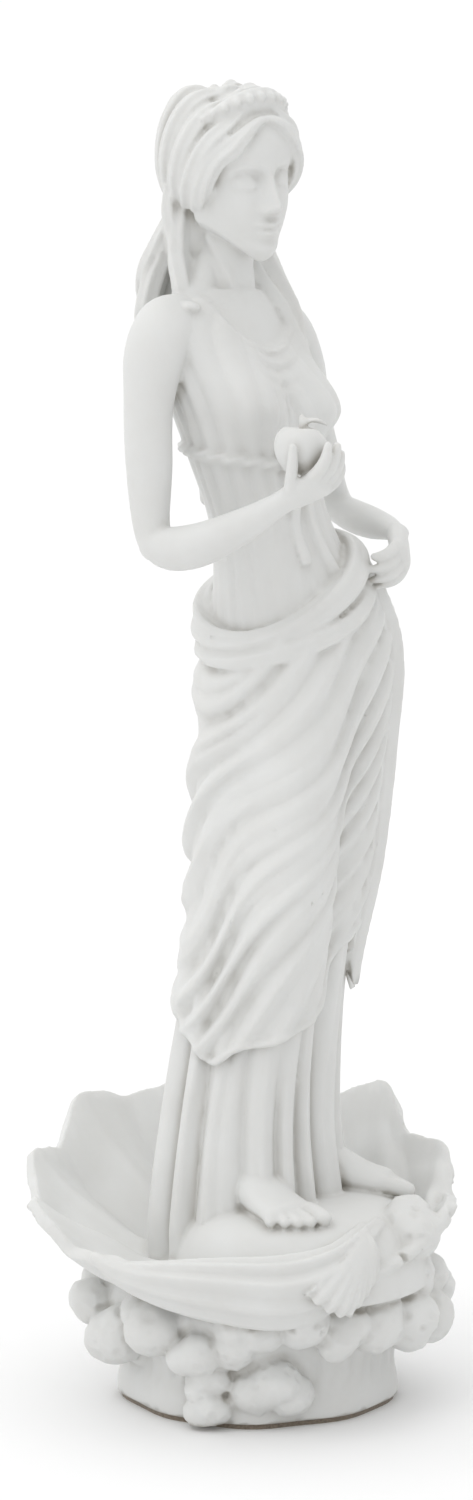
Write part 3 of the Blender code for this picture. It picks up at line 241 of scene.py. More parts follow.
def skirt_fold(theta, z):
    """How far the hanging cloth stands out at a height, pressed flat where the mantle covers it."""
    phase = (
        SKIRT_FOLDS * theta
        + 1.9 * np.sin(2 * theta + 0.7)
        + 1.2 * np.sin(5 * theta + 1.9)
        + 0.6 * np.sin(z / 17 + 3 * theta)
    )
    hem = mantle_edge(theta, 1)
    covered = ease(z, hem + 2, hem + 14)
    depth = 0.5 + 3.6 * ease(-z, -112, 4) * (1 + 0.4 * np.sin(3 * theta + 1)) * (1 - 0.85 * covered)
    crinkle = 0.5 * ridges(2.6 * phase + 1.5 * np.sin(z / 11)) * (1 + 0.5 * np.sin(4 * theta))
    tight = np.exp(-(((theta - KNEE_SIDE) / 0.42) ** 2)) * ease(z, 12, 60)
    return (ridges(phase) * depth + crinkle) * (1 - 0.9 * tight) + leg_press(theta, z)


def stack(keys, count, sides, fold):
    """A standing form of oval sections, its surface moved outwards by fold(theta, z)."""
    rows = spline(keys, count)
    theta = np.linspace(-np.pi, np.pi, sides, endpoint=False)[None, :]
    z = rows[:, :1] + 0 * theta
    x, y = body_ring(theta, *(rows[:, i : i + 1] for i in range(1, 6)))
    out = fold(theta, z)
    return loft(np.stack([x + out * np.sin(theta), y - out * np.cos(theta), z], axis=-1))


def at_height(keys, z):
    """The key rows of a stack read at any heights."""
    keys = np.asarray(spline(keys, 8 * len(keys)))
    return [np.interp(z, keys[:, 0], keys[:, i]) for i in range(1, 6)]


def neckline(theta):
    """Height of the dress's upper edge: a scoop in front and a lower one behind."""
    behind = np.abs(np.abs(theta) - np.pi)
    return 205 - 11.5 * np.exp(-((theta / 0.62) ** 2)) - 12 * np.exp(-((behind / 0.9) ** 2))


def bodice_fold(theta, z):
    """The bust, pleats that run up to the shoulders, and folds that hang below the neckline."""
    side = np.abs(theta) - 0.52
    below = np.where(z > 180.5, 10.5, 6.8)
    bust = 6.6 * np.exp(-((side / 0.36) ** 2) - ((z - 180.5) / below) ** 2)
    blades = 1.3 * np.exp(-(((np.abs(theta) - 2.55) / 0.35) ** 2) - ((z - 187) / 9) ** 2)
    depth = neckline(theta) - z
    clothed = ease(depth, -0.3, 0.5)
    gather = theta + 0.42 * (np.sign(theta) * 0.95 - theta) * ease(z, 172, 204)
    pleats = 1.05 * ridges(25 * gather + 2.2 * np.sin(3 * theta)) * (0.55 + 0.45 * ease(z, 150, 172))
    cowl = 1.3 * ridges(2 * np.pi * depth / 3.4) * np.exp(-((theta / 0.42) ** 2) - ((depth - 4) / 6) ** 2)
    hem = 0.55 * np.exp(-(((depth - 0.9) / 0.8) ** 2))
    calm = 1 - 0.75 * np.exp(-((theta / 0.4) ** 2)) * ease(z, 180, 188)
    return bust + blades + clothed * (0.8 + pleats * calm + cowl + hem)


def girdle_height(theta):
    return 169.5 - 1.5 * np.cos(theta)


def trunk():
    """Body and bodice, with the girdle tied under the bust in a small bow."""
    forms = [stack(TRUNK, 120, 220, bodice_fold)]
    theta = np.linspace(-np.pi, np.pi, 49)
    height = girdle_height(theta)
    x, y = body_ring(theta, *at_height(SKIRT, height))
    band = np.stack([x, y, height, 1.35 + 0 * theta, 2.3 + 0 * theta], axis=-1)
    forms.append(sweep(band, (0.02, 0.01, 1), 140, 20, flutes=3, flute_depth=0.2, twist=150))
    forms.append(ball((-1, -13.4, 168), (2.3, 1.6, 2.0)))
    for side in (-1, 1):
        loop = (
            (-1, -13.6, 168, 0.9, 0.8),
            (-1 + 3.2 * side, -14.4, 169.6, 1.5, 0.9),
            (-1 + 5.6 * side, -13.6, 168.2, 1.6, 0.9),
            (-1 + 3.0 * side, -14.0, 166.8, 1.2, 0.8),
        )
        forms += [sweep(loop, (0, 0, 1), 24, 12), ribbon(side)]
        forms.append(ball((-1 + 17.0 * side, -0.8, 201.9), (2.4, 2.6, 1.3)))
    return forms


def ribbon(side):
    """A hanging end of the bow: flat, a little waved, lying on her belly."""
    t = np.linspace(0, 1, 9)
    theta = side * (0.04 + 0.2 * t) + 0.04 * np.sin(7 * t) - 0.06
    height = 167.5 - (24 + 3 * side) * t
    x, y = body_ring(theta, *at_height(TRUNK, height))
    out = 1.5 + 0.2 * np.sin(9 * t + side)
    place = [x + out * np.sin(theta), y - out * np.cos(theta), height]
    return sweep(np.stack([*place, 0.9 + 0.9 * t, 1.0 + 0 * t], axis=-1), (1, 0, 0), 40, 16)


def collar():
    """Collar bones, the two cords of the neck between them, and the slopes of the shoulders."""
    forms = []
    for side in (-1, 1):
        bone = (
            (-1 + 1.8 * side, -3.9, 201.9, 0.9, 0.9),
            (-1 + 7 * side, -3.2, 202.4, 1.0, 0.9),
            (-1 + 13 * side, -1.2, 201.9, 1.1, 0.9),
            (-1 + 18 * side, 1.2, 200.5, 1.0, 0.9),
        )
        cord = (
            (-1 + 1.4 * side, -2.6, 202.5, 1.2, 1.0),
            (-1 + 3.0 * side, -1.0, 209.0, 1.9, 1.6),
            (-1 + 4.6 * side, 2.4, 218.0, 2.0, 1.8),
        )
        slope = (
            (-1 + 2.6 * side, 4.5, 214.0, 3.4, 3.2),
            (-1 + 7.0 * side, 4.4, 206.0, 4.2, 3.6),
            (-1 + 14.0 * side, 4.0, 200.6, 4.6, 3.6),
            (-1 + 20.0 * side, 3.6, 197.5, 4.0, 3.6),
        )
        forms += [sweep(bone, (0, 0, 1), 24, 12), sweep(cord, (1, 0, 0), 24, 16)]
        forms.append(sweep(slope, (0, 1, 0), 30, 24))
    return forms


# Bearing of the gathered cloth at her left hip, and the mantle's least height over the skirt's folds
MANTLE_GRIP = 0.95
MANTLE_CLEAR = 1.5


def mantle_edge(theta, s):
    """Height of the mantle from its rolled top edge, s = 0, to its hem, s = 1."""
    top = 139 + 9 * np.sin(theta - 0.1)
    hem = 60 - 23 * np.cos(theta + 1.2) + 1.5 * np.sin(6 * theta) + 0.7 * np.sin(11 * theta)
    return top + (hem - top) * s


def mantle_fold(theta, z):
    """Folds that fall slantwise round her from the gathered cloth at her left hip."""
    round_share = ((MANTLE_GRIP - theta) / (2 * np.pi)) % 1
    hang = np.sin(np.pi * round_share**1.4)
    spacing = 7.0 + 7.5 * hang
    warp = 1.5 * np.sin(z / 12 + 2 * theta) + 1.0 * np.sin(3 * theta - z / 9 + 0.6)
    phase = 2 * np.pi * (z - 141 + 58 * hang) / spacing + warp
    blend = 0.5 + 0.5 * np.sin(2 * theta + z / 17 + 1.0)
    strength = 0.8 + 0.3 * np.sin(z / 13 - 3 * theta)
    broad = ridges(phase + 0.4 * np.sin(phase), 0.7)
    narrow = ridges(1.7 * phase + 0.8 * np.sin(z / 8 - 2 * theta))
    fold = 4.2 * strength * (blend * broad + 0.42 * (1 - blend) * (broad + narrow))
    crinkle = 0.32 * ridges(3.3 * phase + 2 * np.sin(3 * theta))
    thigh = np.exp(-(((theta - KNEE_SIDE) / 0.36) ** 2) - ((z - 84) / 26) ** 2)
    calm = 1 - 0.7 * thigh
    return (fold * ease(-z, -142, -128) + crinkle) * calm + leg_press(theta, z)


def on_cloth(theta, z, out):
    """Points that stand out from the skirt's plain surface."""
    x, y = body_ring(theta, *at_height(SKIRT, z))
    return x + out * np.sin(theta), y - out * np.cos(theta)


def over_skirt(theta, z, out):
    """Points that stand out from the skirt's plain surface and clear its folds too."""
    return on_cloth(theta, z, np.maximum(out, skirt_fold(theta, z) + MANTLE_CLEAR))


def mantle():
    """The cloak wrapped round her hips, with its rolled edge."""
    theta = np.linspace(-np.pi, np.pi, 300, endpoint=False)[None, :]
    z = mantle_edge(theta, np.linspace(0, 1, 150)[:, None])
    x, y = over_skirt(theta, z, 2.1 + mantle_fold(theta, z))
    wrap = loft(np.stack([x, y, z], axis=-1))
    edge = mantle_edge(theta[0], 1)
    x, y = over_skirt(theta[0], edge, 1.9 + mantle_fold(theta[0], edge))
    border = np.stack([x, y, edge, 0.95 + 0 * x, 0.8 + 0 * x], axis=-1)
    forms = [wrap, sweep(np.vstack([border, border[:1]]), (0.02, 0.01, 1), 420, 10)]
    around = np.linspace(-np.pi, np.pi, 61)
    for rise, out, thick in ((0.0, 1.9, 3.2), (-4.6, 2.6, 2.2)):
        height = mantle_edge(around, 0) + rise * (1 + 0.35 * np.sin(2 * around + 1))
        x, y = on_cloth(around, height, out)
        size = thick * (1 + 0.2 * np.sin(around * 2 + 0.5 + rise))
        roll = np.stack([x, y, height, size, size * 0.85], axis=-1)
        forms.append(sweep(roll, (0.02, 0.01, 1), 160, 36, flutes=5, flute_depth=0.13, twist=20))
    return forms


# Where the hanging end starts and stops round her, how many pleats it has, and its lowest height
CASCADE_FROM = 0.58
CASCADE_TO = 1.62
CASCADE_PLEATS = 4
CASCADE_LOW = 47.0


def cascade():
    """The mantle's free end, hanging in stacked pleats from the hand at her left hip."""
    u = np.linspace(0, 1, 161)[None, :]
    s = np.linspace(0, 1, 80)[:, None]
    spread = 0.6 + 0.4 * ease(s, 0, 0.6)
    middle = (CASCADE_FROM + CASCADE_TO) / 2
    theta = middle + (CASCADE_FROM + (CASCADE_TO - CASCADE_FROM) * u - middle) * spread
    turn = 2 * np.pi * CASCADE_PLEATS * u + 0.5 * np.sin(3 * s)
    theta = theta + 0.03 * np.sin(turn) * ease(s, 0, 0.5)
    hem = CASCADE_LOW + 3.2 * np.arcsin(0.85 * np.sin(turn - 0.6)) + 14 * (1.9 * u - 0.85) ** 2
    z = 147 + (hem - 147) * s
    swell = np.sin(np.pi * np.clip(u, 0.02, 0.98)) ** 0.3
    fold = 2.5 * np.arcsin(0.97 * np.cos(turn)) / (np.pi / 2) + 0.3 * np.cos(3 * turn)
    hang = 1 - 0.3 * ease(s, 0.7, 1)
    out = leg_press(theta, z) + (5.2 + fold * ease(s, -0.1, 0.35)) * swell * hang
    outer = np.stack([*on_cloth(theta, z, out), z], axis=-1)
    inner = np.stack([*on_cloth(theta, z, 0.5 + leg_press(theta, z)), z], axis=-1)
    return [loft(np.concatenate([outer, inner[:, ::-1]], axis=1))]


# Rows of x, y, height, half width and half depth, from inside the shoulder to the wrist
RIGHT_ARM = (
    (-13, 3.0, 199, 4.6, 5.2),
    (-20.5, 3.4, 197.6, 5.8, 6.6),
    (-25.4, 4.4, 190, 5.7, 6.7),
    (-27.6, 5.6, 180, 4.8, 5.6),
    (-29.0, 6.6, 168, 4.7, 5.3),
    (-30.2, 7.4, 157, 3.9, 4.4),
    (-30.6, 6.2, 151.6, 4.0, 4.0),
    (-30.3, 1.6, 150.6, 4.2, 4.5),
    (-28.6, -6, 152.2, 4.6, 4.3),
    (-25.6, -15, 156.2, 3.6, 3.4),
    (-22.8, -21.6, 160, 2.8, 2.5),
    (-21.3, -25, 162, 2.9, 2.3),
)
LEFT_ARM = (
    (11, 3.0, 199, 4.6, 5.2),
    (18.5, 3.4, 197.6, 5.8, 6.6),
    (23.8, 4.6, 190, 5.7, 6.7),
    (27.2, 6.0, 180, 4.8, 5.6),
    (30.4, 7.4, 169, 4.7, 5.3),
    (33.6, 8.4, 159, 3.9, 4.4),
    (34.6, 7.0, 154, 4.0, 4.0),
    (34.2, 2.6, 152, 4.2, 4.4),
    (32.6, -3.4, 151, 4.4, 4.2),
    (30.4, -9.4, 150.6, 3.5, 3.3),
    (28.4, -13, 150.2, 2.8, 2.5),
    (27.5, -15, 150, 2.9, 2.3),
)


def hand(wrist, forward, palm_normal, curl, thumb_side):
    """A palm with four fingers and a thumb. curl is how far each finger joint bends."""
    forward = unit(np.asarray(forward, float))
    normal = np.asarray(palm_normal, float)
    normal = unit(normal - (normal @ forward) * forward)
    across = np.cross(forward, normal) * thumb_side
    wrist = np.asarray(wrist, float)
    palm = [
        (*(wrist + forward * along), wide, thick)
        for along, wide, thick in ((0, 3.0, 2.3), (4, 4.2, 2.3), (8.5, 4.7, 2.1))
    ]
    forms = [sweep(palm, across, count=10)]
    for i, length in enumerate((8.6, 9.6, 9.0, 7.2)):
        spot = wrist + forward * (8.8 - 0.25 * abs(i - 1)) + across * (3.45 - 2.3 * i)
        heading = forward + across * (0.12 - 0.08 * i)
        forms.append(finger(spot, heading, normal, length, curl))
    spot = wrist + forward * 2.8 + across * 3.6
    heading = forward * 0.72 + across * 0.5 + normal * 0.45
    forms.append(finger(spot, heading, normal, 8.4, curl * 0.4))
    return forms


def finger(spot, heading, normal, length, curl):
    """Three phalanges that bend towards the palm's normal."""
    heading = unit(heading)
    angle = 0.0
    points = [(*spot, 1.35, 1.35)]
    for share, radius in ((0.42, 1.3), (0.32, 1.2), (0.26, 0.95)):
        angle += curl
        step = heading * math.cos(angle) + normal * math.sin(angle)
        spot = spot + step * length * share
        points.append((*spot, radius, radius))
    return sweep(points, np.cross(heading, normal), count=10, sides=10)


def arms():
    """Both arms, the apple in her right hand, and her left hand holding the mantle."""
    forms = [sweep(keys, (1, 0.2, 0), 80, 32) for keys in (RIGHT_ARM, LEFT_ARM)]
    forms += hand(RIGHT_ARM[-1][:3], (0.38, -0.8, 0.42), (0.3, 0.3, 0.9), 0.3, 1)
    forms += apple((-16.6, -27.6, 172.2), 6.1)
    forms += hand(LEFT_ARM[-1][:3], (-0.6, -0.5, -0.5), (-0.6, 0.75, -0.2), 0.5, 1)
    for keys in (RIGHT_ARM, LEFT_ARM):
        elbow = keys[6]
        forms.append(ball((elbow[0], elbow[1] + 1.4, elbow[2] - 0.9), (3.1, 2.9, 3.1)))
    return forms


def apple(centre, radius):
    """A round fruit, dimpled above and below, with its stalk and a leaf."""
    rings = []
    round_fruit = np.linspace(0, 2 * np.pi, 48, endpoint=False)
    for rise in np.radians(np.linspace(-86, 86, 36)):
        lobes = 1 + 0.025 * np.cos(5 * round_fruit) * np.cos(rise)
        out = radius * math.cos(rise) ** 0.85 * lobes
        dimple = 0.34 * math.exp(-((math.cos(rise) / 0.3) ** 2))
        height = radius * math.sin(rise) * (0.93 - dimple)
        x, y = out * np.cos(round_fruit), out * np.sin(round_fruit)
        rings.append(np.stack([x, y, height + 0 * x], axis=-1))
    fruit = loft(np.array(rings) + centre)
    x, y, z = centre
    stalk = [(x + 0.45 * i, y, z + 3.2 + 1.3 * i, 0.5 + 0.06 * i, 0.5 + 0.06 * i) for i in range(4)]
    leaf = (
        (x + 0.4, y - 0.2, z + 4.8, 0.4, 0.4),
        (x + 2.0, y - 1.0, z + 6.4, 1.5, 0.5),
        (x + 4.2, y - 2.0, z + 6.5, 1.4, 0.5),
        (x + 6.2, y - 2.8, z + 5.6, 0.3, 0.35),
    )
    return [fruit, sweep(stalk, (1, 0, 0), 12, 10), sweep(leaf, (0.4, 0.9, 0), 20, 14)]


# How far each toe reaches from the heel, and its half thickness, from the great toe outwards
TOES = ((35.0, 1.9), (34.6, 1.45), (33.2, 1.35), (31.4, 1.3), (29.2, 1.25))


def foot(heel, heading, side):
    """A bare foot. side is -1 for her right foot and 1 for her left."""
    heading = unit(np.asarray(heading, float))
    across = np.cross(heading, (0, 0, 1.0)) * -side
    heel = np.asarray(heel, float)
    rows = []
    for along, height, wide, thick in (
        (0, 4.0, 4.0, 4.2),
        (7, 6.5, 4.8, 6.5),
        (15, 5.6, 5.4, 5.4),
        (23, 3.4, 6.4, 3.4),
        (28, 2.6, 6.6, 2.6),
    ):
        rows.append((*(heel + heading * along + (0, 0, height)), wide, thick))
    forms = [sweep(rows, across, count=18, sides=18)]
    for i, (reach, radius) in enumerate(TOES):
        offset = across * (-4.7 + (3.4 if i else 0) + 2.35 * max(i - 1, 0))
        start = heel + heading * 26 + offset * 0.92 + (0, 0, 2.4)
        end = heel + heading * reach + offset + (0, 0, radius)
        middle = (start + end) / 2 + (0, 0, 0.5)
        toe = [(*point, radius, radius) for point in (start, middle, end)]
        forms.append(sweep(toe, across, count=8, sides=10))
    return forms


def feet():
    return foot((-8.5, 4, 0), (-0.25, -0.97, 0), -1) + foot((8.5, 4, 0), (0.42, -0.9, 0), 1)


# The face, in millimetres of a head 35 mm high: x across, z up from the chin, depth forwards
FACE_WIDTH = (
    (-1, 4.0),
    (0, 5.4),
    (2, 7.2),
    (5, 8.9),
    (9, 10.3),
    (14, 11.3),
    (18, 11.6),
    (24, 11.8),
    (29, 11.2),
    (32, 10.3),
)
FACE_DEPTH = (
    (-1, 11.6),
    (0, 12.9),
    (2, 14.0),
    (4, 13.7),
    (7, 14.3),
    (10, 14.5),
    (14, 14.0),
    (18, 13.9),
    (21, 14.6),
    (25, 14.5),
    (29, 12.7),
    (32, 10.4),
)
NOSE_HEIGHT = (
    (9.8, 0),
    (10.5, 1.7),
    (11.7, 3.9),
    (13, 3.6),
    (16, 2.3),
    (18.6, 1.2),
    (20.6, 0.3),
    (22, 0),
)
NOSE_WIDTH = ((9.8, 1.8), (11.6, 1.9), (14, 1.5), (18, 1.35), (21, 2.0))
JAW_ROUND = 2.2


def table(pairs, z):
    """A smooth reading of (height, value) pairs."""
    keys = spline(pairs, 12 * len(pairs))
    return np.interp(z, keys[:, 0], keys[:, 1])


def face_relief(x, z):
    """How far the features stand forward of the plain mask."""
    a = np.abs(x)
    nose = table(NOSE_HEIGHT, z) * np.exp(-((a / table(NOSE_WIDTH, z)) ** 2))
    wings = 1.15 * bump(a - 2.1, z - 11.0, 0.8, 0.95)
    socket = -1.7 * bump(a - 4.8, z - 18.0, 3.0, 2.1) - 0.8 * bump(a - 2.7, z - 18.3, 1.1, 1.6)
    eye = ((a - 4.9) / 2.8) ** 2 + ((z - 17.3) / 1.75) ** 2
    eyeball = 1.7 * np.sqrt(np.clip(1 - eye, 0, 1))
    lid = -0.34 * np.exp(-(((z - 16.6 - 0.06 * (a - 4.9) ** 2) / 0.24) ** 2)) * ease(1 - eye, 0, 0.3)
    crease = -0.3 * np.exp(-(((z - 19.2 + 0.07 * (a - 4.9) ** 2) / 0.28) ** 2))
    crease = crease * ease(3.4 - np.abs(a - 4.9), 0, 1)
    brow = 0.5 * bump(a - 5.0, z - 20.7 + 0.05 * (a - 4.5) ** 2, 3.4, 0.9)
    upper_lip = 1.05 * np.exp(-(((z - 7.8) / 0.75) ** 2)) * np.clip(1 - (x / 3.8) ** 2, 0, 1)
    dip = -0.3 * bump(x, z - 8.6, 0.7, 0.7)
    lower_lip = 1.25 * np.exp(-(((z - 5.8) / 0.9) ** 2)) * np.clip(1 - (x / 3.1) ** 2, 0, 1)
    mouth = -0.85 * np.exp(-(((z - 6.85 - 0.02 * x**2) / 0.3) ** 2)) * ease(-a, -4.1, -3.0)
    chin = 0.9 * bump(x, z - 1.9, 2.9, 1.9)
    cheek = 0.7 * bump(a - 6.3, z - 12.5, 2.8, 3.0)
    eyes = socket + eyeball + lid + crease + brow
    return nose + wings + eyes + upper_lip + dip + lower_lip + mouth + chin + cheek


def face(columns, rows):
    """The mask from the chin to the hairline, as rings that close behind it inside the head."""
    across = np.sin(np.linspace(-1, 1, columns) * np.pi / 2)
    share = np.linspace(0, 1, rows)[:, None]
    low = -0.6 + 8.5 * np.abs(across) ** 2.4
    z = low + (32 - low) * share
    x = across * table(FACE_WIDTH, z)
    round_off = np.clip(1 - across**2, 0, 1) ** 0.44
    depth = (table(FACE_DEPTH, z) + face_relief(x, z)) * round_off
    front = np.stack([x, -depth, z], axis=-1)
    back = np.stack([x * 0.9, 3 * round_off + 0 * x, z], axis=-1)
    rings = np.concatenate([front, back[:, ::-1]], axis=1)
    middle = rings[0].mean(axis=0)
    under = [
        middle + (rings[0] - middle) * math.cos(turn) - (0, 0, JAW_ROUND * math.sin(turn))
        for turn in np.radians((75, 55, 38, 22, 10))
    ]
    return loft(np.concatenate([under, rings]))


LOCKS_EACH_SIDE = 7
SKULL_CENTRE = np.array((0, 0.7, 20.3))
SKULL_RADII = np.array((12.2, 15.4, 14.8))


def hair_cap():
    """The hair's mass over the skull, combed in fine strands from the crown."""
    rings = []
    around = np.linspace(-np.pi, np.pi, 240, endpoint=False)
    for fall in np.radians(np.linspace(2, 150, 60)):
        strands = ridges(30 * around + 5 * np.sin(3 * around) + 3.0 * fall + 1.6 * np.sin(5 * fall))
        brow = ease(np.cos(around), -0.25, 0.25) * ease(fall, 0.5, 0.9)
        out = 1 + 0.055 * strands * math.sin(fall) * (1 - brow) - 0.1 * brow
        heading = np.stack(
            [
                math.sin(fall) * np.sin(around),
                -math.sin(fall) * np.cos(around),
                math.cos(fall) + 0 * around,
            ],
            axis=-1,
        )
        rings.append(SKULL_CENTRE + heading * SKULL_RADII * out[:, None])
    return [loft(rings)]


def scalp_locks(side):
    """Waved locks swept over the skull from the parting to the nape."""
    forms = []
    s = np.linspace(0, 1, 30)[:, None]
    for i in range(LOCKS_EACH_SIDE):
        t = i / (LOCKS_EACH_SIDE - 1)
        rise = math.radians(38 + 104 * t)
        round_head = math.radians(84 + 90 * t)
        start = np.array((0.05 * side, -math.cos(rise), math.sin(rise)))
        middle = np.array((side * (1.15 - 0.62 * t), -0.78 + 1.5 * t, 0.36 + 0.34 * t))
        end = np.array((side * math.sin(round_head), -math.cos(round_head), -0.78))
        heading = unit((1 - s) ** 2 * start + 2 * s * (1 - s) * middle + s**2 * end)
        wave = np.sin(s * 3.6 * np.pi + 0.8 * i)
        path = SKULL_CENTRE + heading * (SKULL_RADII + 0.9 + 0.55 * wave)
        path[:, 2:] += 0.75 * np.cos(s * 3.6 * np.pi + 0.8 * i)
        width = 1.0 + 1.65 * ease(s, 0, 0.35) - 0.5 * ease(s, 0.75, 1)
        keys = np.hstack([path, width, 0.8 * width])
        forms.append(sweep(keys, (0, 1, 0.4), 90, 40, flutes=6, flute_depth=0.13, twist=5))
    return forms


# The hair's mass between her neck and the outer locks: x, y, height, half width, half depth
HAIR_FALL = (
    (0, 9.5, 14, 9.5, 5.0),
    (0, 11.2, 0, 9.2, 4.8),
    (0, 12.2, -14, 9.8, 4.0),
    (0, 10.8, -30, 9.0, 3.0),
    (0, 7.5, -46, 7.0, 2.0),
)


def back_locks():
    """The long hair that falls over her shoulders and down her back."""
    forms = []
    for layer, count, reach in ((0, 9, 1.0), (1, 8, 0.84)):
        for i in range(count):
            across = (i - (count - 1) / 2) / ((count - 1) / 2)
            phase = i * 1.9 + 2.4 * layer
            length = (62 + 9 * math.cos(across * 1.3) + 6 * math.sin(phase)) * reach
            keys = []
            for step in range(9):
                t = step / 8
                spread = 7.5 + 6.5 * ease(t, 0, 0.5) - 3.0 * ease(t, 0.5, 1) - 1.5 * layer
                x = across * spread + (1.3 + 0.5 * t) * math.sin(phase + 8.0 * t)
                y = 13.0 + 3.5 * ease(t, 0.15, 0.5) - 7.5 * ease(t, 0.5, 1) - 4.5 * across**2
                y += 0.9 * math.sin(2 * phase + 8 * t) + 1.2 * layer
                size = 2.7 * (1 - 0.6 * ease(t, 0.7, 1)) * (0.9 if layer else 1)
                keys.append((x, y, 15 - length * t, size, size * 0.85))
            forms.append(sweep(keys, (1, 0, 0), 100, 40, flutes=6, flute_depth=0.13, twist=9))
    return forms


def shoulder_locks():
    """Long waved locks on each side, drawn forward over the collar bone."""
    forms = []
    for side, drop in ((-1, 46), (1, 40)):
        for strand in range(3):
            turn = 2.1 * strand
            off = 1.5 * strand - 1.5
            keys = []
            for along, x, y, size in (
                (17, 8.2, 6.5, 1.5),
                (9, 9.9, 5.6, 2.1),
                (2, 10.7, 4.5, 2.2),
                (-6, 11.4, 1.5, 2.2),
                (-14, 12.6, -4.0, 2.0),
                (-23, 12.2, -8.6, 1.8),
                (-33, 13.4, -11.0, 1.5),
                (-drop + 4 * strand, 12.6, -10.8, 0.8),
            ):
                sideways = off + 0.9 * math.sin(turn + along / 4.5)
                forwards = 0.9 * math.cos(turn + along / 4.5)
                keys.append((side * (x + sideways), y + forwards, along, size, size * 0.9))
            forms.append(sweep(keys, (1, 0, 0), 100, 36, flutes=5, flute_depth=0.14, twist=12))
    return forms


DIADEM_BEADS = 13


def diadem():
    """A low crescent set on the hair above the brow, with a row of beads along it."""
    around = np.radians(np.linspace(-70, 70, 25))
    heading = unit(
        np.stack([np.sin(around), -0.62 * np.cos(around), 0.42 + 0.4 * np.cos(around)], axis=-1)
    )
    height = 2.2 * np.cos(around * 1.2) ** 1.3 + 0.7
    path = SKULL_CENTRE + heading * (SKULL_RADII + 1.7)
    path[:, 2] += 0.35 * height
    keys = np.hstack([path, height[:, None], 0.95 + 0 * height[:, None]])
    forms = [sweep(keys, (0, 0.25, 1), 80, 20)]
    spots = spline(np.hstack([path + heading * 1.0, height[:, None]]), DIADEM_BEADS)
    for x, y, z, size in spots[1:-1]:
        forms.append(ball((x, y, z), (0.32 * size + 0.35,) * 3))
    return forms


def head():
    """Head and hair in the head's own millimetres, from the chin up."""
    forms = [face(121, 140)] + hair_cap()
    forms.append(ball((0, 7.0, 3), (12.0, 6.5, 15)))
    forms.append(sweep(HAIR_FALL, (1, 0, 0), 40, 40))
    for side in (-1, 1):
        forms += scalp_locks(side)
    return forms + back_locks() + shoulder_locks() + diadem()


def neck():
    keys = (
        (-1, 4, 198, 9.5, 8.0),
        (-1, 3.4, 205, 6.9, 6.6),
        (-0.8, 2.6, 212, 6.0, 6.2),
        (-0.5, 2.2, 222, 6.6, 7.0),
    )
    return [sweep(keys, (1, 0, 0), 30, 40)]


# The hip carried over the standing leg: height, shift to her left, shift back, tilt of what is level
SWAY = (
    (-10, 0.0, 0.0, 0.0),
    (20, 0.7, 0.2, 0.0),
    (70, 3.2, -1.0, 0.02),
    (120, 5.2, -3.0, 0.08),
    (150, 3.0, -1.8, 0.0),
    (180, -0.8, 0.6, -0.08),
    (205, -2.8, 2.0, -0.07),
    (225, -3.6, 1.6, 0.0),
    (260, -4.4, 0.6, 0.0),
)


def swayed(form):
    """The form bent with her body's curve."""
    points = np.array([vertex.co for vertex in form.verts])
    keys = spline(SWAY, 80)
    shift = [np.interp(points[:, 2], keys[:, 0], keys[:, i]) for i in (1, 2, 3)]
    points[:, 2] += shift[2] * points[:, 0]
    points[:, 0] += shift[0]
    points[:, 1] += shift[1]
    for vertex, point in zip(form.verts, points):
        vertex.co = point
    return form


def figure():
    """The goddess, placed on the mound with her soles at their height."""
    turn = (
        Matrix.Rotation(HEAD_TURN, 4, "Z")
        @ Matrix.Rotation(HEAD_TILT, 4, "Y")
        @ Matrix.Rotation(HEAD_NOD, 4, "X")
    )
    pivot = Matrix.Translation((0, 2, 4))
    seat = Matrix.Translation((*HEAD_AXIS, CHIN)) @ pivot @ turn @ pivot.inverted()
    forms = trunk() + collar() + [stack(SKIRT, 160, 400, skirt_fold)]
    forms += mantle() + cascade() + arms() + feet() + neck()
    forms += [moved(form, seat) for form in head()]
    place = Matrix.Translation((0, FIGURE_SET_BACK, SOLE_HEIGHT)) @ Matrix.Scale(FIGURE_MM, 4)
    return [moved(swayed(form), place) for form in forms]


# The raised lobe of the rim at her left
SHELL_LOBE_RISE = 0.005
SHELL_LOBE_BEARING = 1.85


